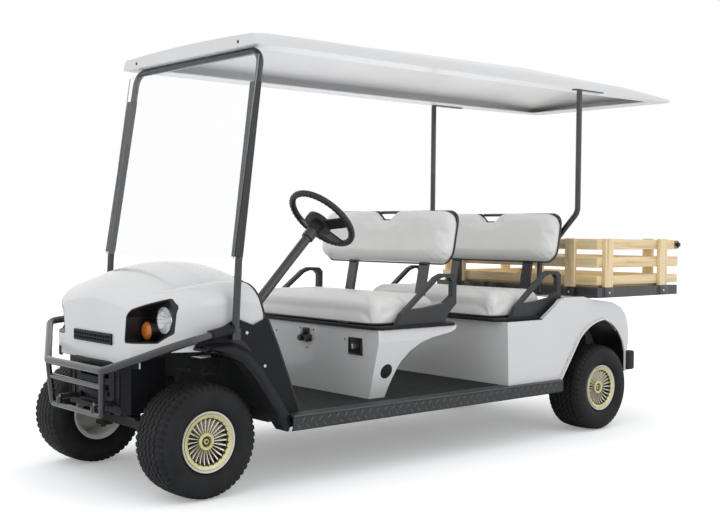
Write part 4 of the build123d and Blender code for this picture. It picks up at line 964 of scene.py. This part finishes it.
make_bed_sides()
make_tailgate()
make_bed_floor()


# ---------------------------------------------------------------- trim on the body
SCREW_RADIUS = 0.008
RIVET_RADIUS = 0.0045
APRON_FACE = 0.5035
POD_TOP, POD_FOOT = 0.615, 0.300


def pod_face(z):
    """Y of the front pod's sloping front face at a height."""
    return behind(0.900 + 0.012 * (POD_TOP - z) / (POD_TOP - POD_FOOT))


def make_pod_fittings():
    """Key switch, direction switch and rivets on the front pod."""
    shapes = Shapes()
    black, grey, dull = 0, 1, 2
    y = pod_face(0.555)
    forward = (0, -1, 0)
    # key switch: a rounded body with two bosses and the key between them
    shapes.box((-0.034, y - 0.016, 0.530), (0.050, y + 0.002, 0.562), 0.006, black)
    shapes.box((-0.012, y - 0.014, 0.556), (0.034, y + 0.002, 0.592), 0.006, black)
    for x in (-0.018, 0.034):
        boss = [(0.0, 0.017), (0.022, 0.016), (0.026, 0.012), (0.026, 0.0)]
        shapes.lathe((x, y, 0.543), forward, boss, 24, black)
    shapes.lathe((0.009, y, 0.571), forward, [(0.0, 0.015), (0.020, 0.014), (0.022, 0.0)], 24, black)
    shapes.box((0.0065, y - 0.044, 0.560), (0.0115, y - 0.020, 0.582), 0.001, grey)
    for x, z in ((-0.037, 0.588), (0.063, 0.586), (0.011, 0.496), (0.290, 0.559), (-0.229, 0.561)):
        shapes.dome((x, pod_face(z), z), forward, RIVET_RADIUS, 0.002, slot=black)
    # direction switch: square bezel, sunk face and a small lever
    y = pod_face(0.533)
    xs, zs = (0.320, 0.414), (0.494, 0.572)
    shapes.box((xs[0], y - 0.0025, zs[0]), (xs[1], y + 0.002, zs[1]), 0.001, dull)
    shapes.frame(xs, (y - 0.006, y + 0.001), zs, 0.007, 0.0015, black)
    x, z = sum(xs) / 2, sum(zs) / 2
    shapes.lathe((x, y, z), forward, [(0.0, 0.016), (0.005, 0.015), (0.006, 0.0)], 24, black)
    shapes.box((x - 0.004, y - 0.024, z - 0.010), (x + 0.004, y - 0.004, z + 0.012), 0.002, grey)
    shapes.finish("pod_fittings", [GRIP, ZINC, COVER_BLACK], hard=35)


def make_plugs():
    """Round dark plug low on each front corner of the pod."""
    shapes = Shapes()
    profile = [(-0.006, 0.0), (-0.006, 0.036), (0.002, 0.036), (0.0035, 0.033), (0.0035, 0.0)]
    for side in (1, -1):
        shapes.lathe((side * 0.484, behind(0.984), 0.425), (side, 0, -0.26), profile, 32)
    shapes.finish("pod_plugs", CHARCOAL, hard=40)


def make_screws():
    """Bright screws in the aprons, and dark ones in the roof's front edge."""
    shapes = Shapes()
    roof = Shapes()
    for side in (1, -1):
        for d, z in ((0.200, 0.642), (0.291, 0.501)):
            shapes.dome((side * APRON_FACE, behind(d), z), (side, 0, 0), SCREW_RADIUS, 0.0035, 16)
        roof.dome((side * 0.407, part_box("canopy")[0].y, 1.822), (0, -1, 0), 0.0075, 0.003, 16)
    shapes.finish("trim_screws", ZINC)
    roof.finish("roof_screws", PIPING)


def make_edge_trim():
    """Dark edge strips on the aprons, and sleeves on the ends of the brush guard."""
    shapes = Shapes()
    sleeves = Shapes()
    edge = [(0.304, 0.694), (0.355, 0.585), (0.408, 0.457), (0.458, 0.330), (0.476, 0.264)]
    profile = [(-0.004, 0.0), (-0.004, 0.0205), (0.0, 0.0215), (0.120, 0.0215), (0.124, 0.0165)]
    for side in (1, -1):
        shapes.tube([(side * (APRON_FACE - 0.003), behind(d), z) for d, z in edge], 0.0062)
        end = Vector((side * 0.5198, behind(0.105), 0.660))
        aim = Vector((side * 0.586, behind(-0.126), 0.632))
        sleeves.lathe(end, aim - end, profile, 32)
    shapes.finish("edge_strips", GRIP, hard=50)
    sleeves.finish("guard_sleeves", CHARCOAL, hard=40)


# rounded flare over each front wheel: (distance, height) of its root on the apron and of its outer edge
FLARE = (
    ((-0.020, 0.602), (-0.050, 0.590)), ((0.047, 0.611), (-0.016, 0.596)), ((0.129, 0.606), (0.055, 0.575)),
    ((0.203, 0.571), (0.128, 0.539)), ((0.261, 0.512), (0.184, 0.480)), ((0.320, 0.429), (0.241, 0.406)),
    ((0.379, 0.344), (0.299, 0.316)), ((0.428, 0.276), (0.339, 0.240)),
)
FLARE_FACE = 0.584
FLARE_STEPS = 6
# (distance, height) round the black plate above the flare, which is painted shadow for the shaded slot there
APRON_SHADOW_OUTLINE = (
    (0.092, 0.627), (0.150, 0.625), (0.190, 0.606), (0.214, 0.579), (0.222, 0.561), (0.185, 0.589),
    (0.132, 0.611),
)


def make_flares():
    """Rounded wheel arch flares on the aprons, with a black plate above each as painted shadow."""
    shapes = Shapes()
    shadow_plates = Shapes()
    hub = Vector((behind(0.02), 0.26))
    for side in (1, -1):
        rings = []
        for (root_d, root_z), (edge_d, edge_z) in FLARE:
            root = Vector((side * APRON_FACE, behind(root_d), root_z))
            edge = Vector((side * FLARE_FACE, behind(edge_d), edge_z))
            bulge = root * 0.8 + edge * 0.2
            bulge.x = side * (FLARE_FACE - 0.006)
            outer = []
            for step in range(FLARE_STEPS + 1):
                t = step / FLARE_STEPS
                outer.append(root * (1 - t) ** 2 + bulge * 2 * t * (1 - t) + edge * t * t)
            lip = (hub - edge.yz).normalized() * 0.006
            lip = Vector((0, lip.x, lip.y))
            inner = [point + lip - Vector((side * 0.003, 0, 0)) for point in outer[1:]]
            rings.append([*outer, edge + lip, *reversed(inner), root + lip])
        shapes.rings(rings)
        # a thin black plate across the apron's face: painted shadow where the slot above the flare lies in
        # shade
        faces = (side * (APRON_FACE + 0.0008), side * (APRON_FACE - 0.002))
        shadow_plates.rings([[(x, behind(d), z) for d, z in APRON_SHADOW_OUTLINE] for x in faces])
    shapes.finish("arch_flares", CHARCOAL, hard=50)
    shadow_plates.finish("apron_shadow_plates", COVER_BLACK, smooth=False)


SILL_STUD_PITCH = 0.046
SILL_FACE = 0.592


def make_sill_studs():
    """Two rows of raised, leaning lozenges along the outer face of each sill, and a ridge above them,
    coloured lighter than the sill as a painted highlight.
    """
    shapes = Shapes()
    low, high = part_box("sill_covers")
    count = int((high.y - low.y - 0.04) / SILL_STUD_PITCH)
    for side in (1, -1):
        face = side * SILL_FACE
        for row, (z, lean) in enumerate(((0.252, 0.010), (0.279, -0.010))):
            for index in range(count):
                y = low.y + 0.03 + SILL_STUD_PITCH * (index + 0.5 * row)
                foot = [(face, y - lean, z + 0.0125), (face, y - 0.0062, z), (face, y + lean, z - 0.0125),
                        (face, y + 0.0062, z)]
                sides = [(0, 1, 4), (1, 2, 4), (2, 3, 4), (3, 0, 4), (3, 2, 1, 0)]
                shapes.add([*foot, (face + side * 0.0032, y, z)], sides)
        shapes.tube([(face - side * 0.001, y, 0.2965) for y in (low.y + 0.004, high.y - 0.004)], 0.003, 8)
    shapes.finish("sill_studs", SILL_STUD_HIGHLIT, smooth=False)


GRIP_BUMPS = 46


def make_grip_bumps():
    """Finger bumps round the far side of the steering wheel's ring."""
    shapes = Shapes()
    climb = math.radians(45.8)
    centre = Vector((0.300, behind(0.753), 1.111))
    axis = Vector((0, math.cos(climb), math.sin(climb)))
    across = Vector((1, 0, 0))
    upward = axis.cross(across)
    for index in range(GRIP_BUMPS):
        angle = TAU * index / GRIP_BUMPS
        outward = across * math.cos(angle) + upward * math.sin(angle)
        for lean in (-2.45, -0.7):
            normal = outward * math.cos(lean) + axis * math.sin(lean)
            foot = centre + outward * 0.158 + normal * 0.0132
            shapes.dome(foot, normal, 0.0062, 0.003, 8)
    shapes.finish("grip_bumps", GRIP, "steering_wheel", hard=60)


def cast(node, start, aim):
    """Point where a ray meets a CAD node, or None."""
    obj = nodes[node]
    back = obj.matrix_world.inverted()
    hit, place, _, _ = obj.ray_cast(back @ Vector(start), (back.to_3x3() @ Vector(aim)).normalized())
    return obj.matrix_world @ place if hit else None


def cowl_edge_d(z):
    """Distance of the cowl's rear edge at a height."""
    if z > 0.846:
        return 0.252 - 0.298 * (z - 0.846)
    return min(0.292, 0.300 - 0.308 * (z - 0.690))


def make_cowl_edge():
    """Dark moulding round the cowl's rear edge, over its top from foot to foot."""
    path = []
    for z in (0.676, 0.695, 0.715, 0.735, 0.755, 0.770, 0.785):
        y = behind(cowl_edge_d(z))
        point = cast("front_cowl", (0.9, y - 0.005, z), (-1, 0, 0))
        if point:
            path.append((point.x - 0.001, y - 0.002, z))
    for x in (0.48, 0.47, 0.46, 0.445, 0.43, 0.41, 0.385, 0.35, 0.31, 0.26, 0.20, 0.12, 0.0):
        z = 0.85
        for _ in range(4):
            point = cast("front_cowl", (x, behind(cowl_edge_d(z)) - 0.005, 1.2), (0, 0, -1))
            z = point.z if point else z
        sink = 0.001 + 0.0032 * (1 - x / 0.48)
        if z > path[-1][2]:
            path.append((x, behind(cowl_edge_d(z)) - 0.002, z - sink))
    moulding = Shapes()
    moulding.tube([*path, *((-x, y, z) for x, y, z in reversed(path[:-1]))], 0.0052)
    moulding.finish("cowl_edge", GRIP, hard=50)


def make_nose_caps():
    """Dark cap low on each rounded corner of the nose, round the lower end of the cowl's wall."""
    caps = Shapes()
    for side in (1, -1):
        xs = (0.29, 0.305, 0.316, 0.325, 0.332)
        corner = [cast("front_cowl", (side * x, -3, 0.53), (0, 1, 0)) for x in xs]
        corner = [point.xy for point in corner if point]
        corner += [Vector((side * 0.3421, behind(-0.2002))), Vector((side * 0.3424, behind(-0.1965)))]
        core = Vector((side * 0.29, behind(-0.185)))
        outer = [point + (point - core).normalized() * 0.0012 for point in corner]
        inner = [point - (point - core).normalized() * 0.0075 for point in corner]
        outer[-1].y += 0.0015
        inner[-1].y += 0.0015
        caps.rings([[(*point, z) for point in (*outer, *reversed(inner))] for z in (0.5094, 0.549)])
    caps.finish("nose_corner_caps", CHARCOAL, hard=40)


def make_fascia_ribs():
    """Bowed ribs and side vent grilles on the lower front panel."""
    shapes = Shapes()
    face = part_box("front_fascia")[0].y
    # height, half width, bow and radius of each rib
    for z, half, bow, radius in ((0.515, 0.170, 0.016, 0.008), (0.489, 0.165, 0.012, 0.006),
                                 (0.386, 0.118, 0.018, 0.011), (0.334, 0.118, 0.012, 0.006)):
        shares = [step / 6 - 1 for step in range(13)]
        shapes.tube([(half * share, face + 0.002 - bow * (1 - share ** 2), z) for share in shares], radius)
    for side in (1, -1):
        xs = sorted((side * 0.166, side * 0.214))
        shapes.frame(xs, (face - 0.004, face + 0.002), (0.345, 0.490), 0.006, 0.0012)
        for row in range(9):
            for column in range(3):
                place = (xs[0] + 0.012 + 0.012 * column, face, 0.362 + 0.014 * row)
                shapes.dome(place, (0, -1, 0), 0.0036, 0.0022, 8)
    shapes.finish("fascia_ribs", CHARCOAL, hard=45)


# inner edge of the rear wheel arch: distance and height
REAR_ARCH = ((2.143, 0.302), (2.216, 0.400), (2.290, 0.500), (2.333, 0.536), (2.380, 0.562), (2.440, 0.585),
             (2.500, 0.592), (2.566, 0.572), (2.620, 0.530), (2.663, 0.471), (2.686, 0.402), (2.686, 0.302))


def make_arch_shade():
    """Black bands inside the rear wheel arches, painted shade where the inside of the arch lies in shadow."""
    shapes = Shapes()
    centre = Vector((2.440, 0.330))
    arch = [(Vector(point), (Vector(point) - centre).normalized()) for point in REAR_ARCH]
    for side in (1, -1):
        rings = []
        for x, grow in ((0.5735, 0.0015), (0.560, 0.004), (0.400, 0.004), (0.384, 0.0)):
            outer = [point + away * grow for point, away in arch]
            inner = [point + away * (grow - 0.002) for point, away in arch]
            rings.append([(side * x, behind(d), z) for d, z in (*outer, *reversed(inner))])
        shapes.rings(rings)
    shapes.finish("rear_arch_painted_shade", COVER_BLACK, hard=40)


def make_bumper_caps():
    """Moulded caps on the ends of the rear bumper, their outer rims eased by an inset."""
    caps = Shapes()
    plan = [(0.540, 2.700), (0.583, 2.700), (0.5865, 2.708), (0.5865, 2.770), (0.574, 2.788), (0.540, 2.794)]
    levels = ((0.306, 0.006), (0.309, 0.002), (0.316, 0.0), (0.398, 0.0), (0.405, 0.002), (0.408, 0.006))
    for side in (1, -1):
        rings = []
        for z, inset in levels:
            ring = []
            for x, d in plan:
                eased_x = x - inset if x > 0.55 else x
                eased_d = d - inset if d > 2.75 else d + inset
                ring.append((side * eased_x, behind(eased_d), z))
            rings.append(ring)
        caps.rings(rings)
    caps.finish("bumper_caps", CHARCOAL, hard=40)


RAIL_FACE = 0.596
LATCH_FACE = BED_HALF - 0.019
POCKET_BOLT_Z = 0.738


def make_stake_pockets():
    """Bolted pockets that hold the stakes to the bed's rail, black strips beside them as painted shade, and a
    latch on each top rail's end.
    """
    shapes = Shapes()
    bolts = Shapes()
    steel, black = 0, 1
    zs = (0.716, RAIL_TOP + 0.001)
    shade_strip_zs = (0.716, RAIL_TOP - 0.001)
    level = SLAT_LEVELS[-1]
    for side in (1, -1):
        out = (side, 0, 0)
        for stake_d in SIDE_STAKES:
            plate = (stake_d - 0.003, stake_d + 0.075)
            shapes.block(side, (RAIL_FACE - 0.001, RAIL_FACE + 0.003), plate, zs, 0.0012, steel)
            # black strip across the rail's face beside the pocket: painted shade in the gap there
            gap = (stake_d - 0.026, stake_d - 0.004)
            shapes.block(side, (RAIL_FACE - 0.001, RAIL_FACE + 0.0008), gap, shade_strip_zs, 0.0, black)
            head = (side * (RAIL_FACE + 0.003), behind(stake_d + 0.036), POCKET_BOLT_Z)
            bolts.dome(head, out, 0.0062, 0.003)
        plate = (GATE_STAKE_X - 0.036, GATE_STAKE_X + 0.036)
        shapes.block(side, plate, (BED_FRONT - 0.003, BED_FRONT + 0.001), zs, 0.0012, steel)
        # black strip beside the head pocket: painted shade in the gap there
        gap = (GATE_STAKE_X + 0.037, GATE_STAKE_X + 0.059)
        shapes.block(side, gap, (BED_FRONT - 0.0008, BED_FRONT + 0.001), shade_strip_zs, 0.0, black)
        bolts.dome((side * GATE_STAKE_X, behind(BED_FRONT - 0.003), POCKET_BOLT_Z), (0, -1, 0), 0.0062, 0.003)
        # latch: a folded plate round the slat's end, with a knob
        shapes.block(side, (BED_HALF - STAKE_THICKNESS, LATCH_FACE), (BED_REAR + 0.004, BED_REAR + 0.044),
                     (level[0] + 0.006, level[1] - 0.006), 0.001, steel)
        knob = (side * LATCH_FACE, behind(BED_REAR + 0.030), sum(level) / 2)
        shapes.lathe(knob, out, [(0.0, 0.013), (0.010, 0.013), (0.013, 0.010), (0.013, 0.0)], 20, black)
        for z in (level[0] + 0.013, level[1] - 0.013):
            bolts.dome((side * LATCH_FACE, behind(BED_REAR + 0.012), z), out, 0.0042, 0.0025)
    shapes.finish("stake_pockets", [STEEL, COVER_BLACK], hard=40)
    bolts.finish("pocket_bolts", ZINC)


make_pod_fittings()
make_plugs()
make_screws()
make_edge_trim()
make_flares()
make_sill_studs()
make_grip_bumps()
make_cowl_edge()
make_nose_caps()
make_fascia_ribs()
make_arch_shade()
make_bumper_caps()
make_stake_pockets()


# ---------------------------------------------------------------- floor, light and camera
def make_stage():
    """Pale floor that keeps the shadow, in a white surround."""
    material = new_shader("studio_floor", (0.9, 0.9, 0.9), 0.9, specular=0.0)
    corners = [(-30, -30, 0), (30, -30, 0), (30, 30, 0), (-30, 30, 0)]
    new_object("studio_floor", corners, [(0, 1, 2, 3)], material, smooth=False)
    shader = material.node_tree.nodes["Principled BSDF"]
    path = add_node(material, "ShaderNodeLightPath")
    mix = add_node(material, "ShaderNodeMix")
    mix.data_type = "RGBA"
    mix.inputs["A"].default_value = (0.86, 0.86, 0.87, 1)
    mix.inputs["B"].default_value = (1.0, 1.0, 1.0, 1)
    link(material, path.outputs["Is Camera Ray"], mix.inputs["Factor"])
    link(material, mix.outputs["Result"], shader.inputs["Base Color"])
    # a little light of its own, for the camera alone, so that open floor meets the white surround
    glow = add_node(material, "ShaderNodeMath")
    glow.operation = "MULTIPLY"
    glow.inputs[1].default_value = 0.25
    link(material, path.outputs["Is Camera Ray"], glow.inputs[0])
    shader.inputs["Emission Color"].default_value = (1, 1, 1, 1)
    link(material, glow.outputs["Value"], shader.inputs["Emission Strength"])


WORLD_LEVEL = 1.0


def make_world():
    """Even light all round, which the camera, gloss and clear pieces see as plain white."""
    world = bpy.data.worlds.new("surround")
    bpy.context.scene.world = world
    world.use_nodes = True
    tree = world.node_tree
    tree.nodes.clear()

    def background(color, strength):
        node = tree.nodes.new("ShaderNodeBackground")
        node.inputs["Color"].default_value = color
        node.inputs["Strength"].default_value = strength
        return node.outputs["Background"]

    def either(first, second):
        node = tree.nodes.new("ShaderNodeMath")
        node.operation = "MAXIMUM"
        tree.links.new(first, node.inputs[0])
        tree.links.new(second, node.inputs[1])
        return node.outputs["Value"]

    rays = tree.nodes.new("ShaderNodeLightPath").outputs
    seen = either(either(rays["Is Camera Ray"], rays["Is Glossy Ray"]), rays["Is Transmission Ray"])
    mix = tree.nodes.new("ShaderNodeMixShader")
    tree.links.new(seen, mix.inputs["Fac"])
    tree.links.new(background((0.96, 0.98, 1.0, 1), WORLD_LEVEL), mix.inputs[1])
    tree.links.new(background((1, 1, 1, 1), 1.0), mix.inputs[2])
    output = tree.nodes.new("ShaderNodeOutputWorld")
    tree.links.new(mix.outputs["Shader"], output.inputs["Surface"])


# name, place, point aimed at, width, length, power in watts
LAMPS = (
    ("key", (2.2, -6.5, 3.4), (0.0, 0.0, 0.7), 3.5, 3.5, 14),
    ("side", (6.5, 1.0, 2.6), (0.0, 0.2, 0.7), 3.0, 3.0, 22),
    ("cabin", (0.0, 0.05, 1.42), (0.0, 0.06, 1.9), 1.12, 2.6, 7.5),
)


def make_lamps():
    """Soft lamps from the front and the left, and one that lifts the roof's underside."""
    for name, place, aim, width, length, power in LAMPS:
        lamp = bpy.data.lights.new(name, "AREA")
        lamp.shape = "RECTANGLE"
        lamp.size, lamp.size_y = width, length
        lamp.energy = power
        holder = bpy.data.objects.new(name, lamp)
        holder.location = place
        holder.visible_camera = False
        holder.rotation_euler = (Vector(aim) - Vector(place)).to_track_quat("-Z", "Y").to_euler()
        bpy.context.scene.collection.objects.link(holder)


CAMERA_PLACE = (4.0405, behind(-2.3243), 1.0535)
CAMERA_YAW = math.radians(48.51)
CAMERA_PITCH = math.radians(-1.82)
CAMERA_ROLL = math.radians(0.55)
FOCAL_PIXELS = 1076.1
PHOTO_WIDTH = 720
SENSOR = 36.0


def make_camera():
    """The photograph's camera, as fitted to the wheels and upright lines."""
    data = bpy.data.cameras.new("camera")
    data.sensor_width = SENSOR
    data.lens = FOCAL_PIXELS * SENSOR / PHOTO_WIDTH
    camera = bpy.data.objects.new("camera", data)
    forward = Vector((
        -math.sin(CAMERA_YAW) * math.cos(CAMERA_PITCH), math.cos(CAMERA_YAW) * math.cos(CAMERA_PITCH),
        math.sin(CAMERA_PITCH),
    ))
    level = Vector((math.cos(CAMERA_YAW), math.sin(CAMERA_YAW), 0))
    up = level.cross(forward)
    right = level * math.cos(CAMERA_ROLL) + up * math.sin(CAMERA_ROLL)
    top = up * math.cos(CAMERA_ROLL) - level * math.sin(CAMERA_ROLL)
    turn = Matrix((right, top, -forward)).transposed().to_4x4()
    camera.matrix_world = Matrix.Translation(Vector(CAMERA_PLACE)) @ turn
    bpy.context.scene.collection.objects.link(camera)
    bpy.context.scene.camera = camera


make_stage()
make_world()
make_lamps()
make_camera()
bpy.context.scene.view_settings.view_transform = "Standard"
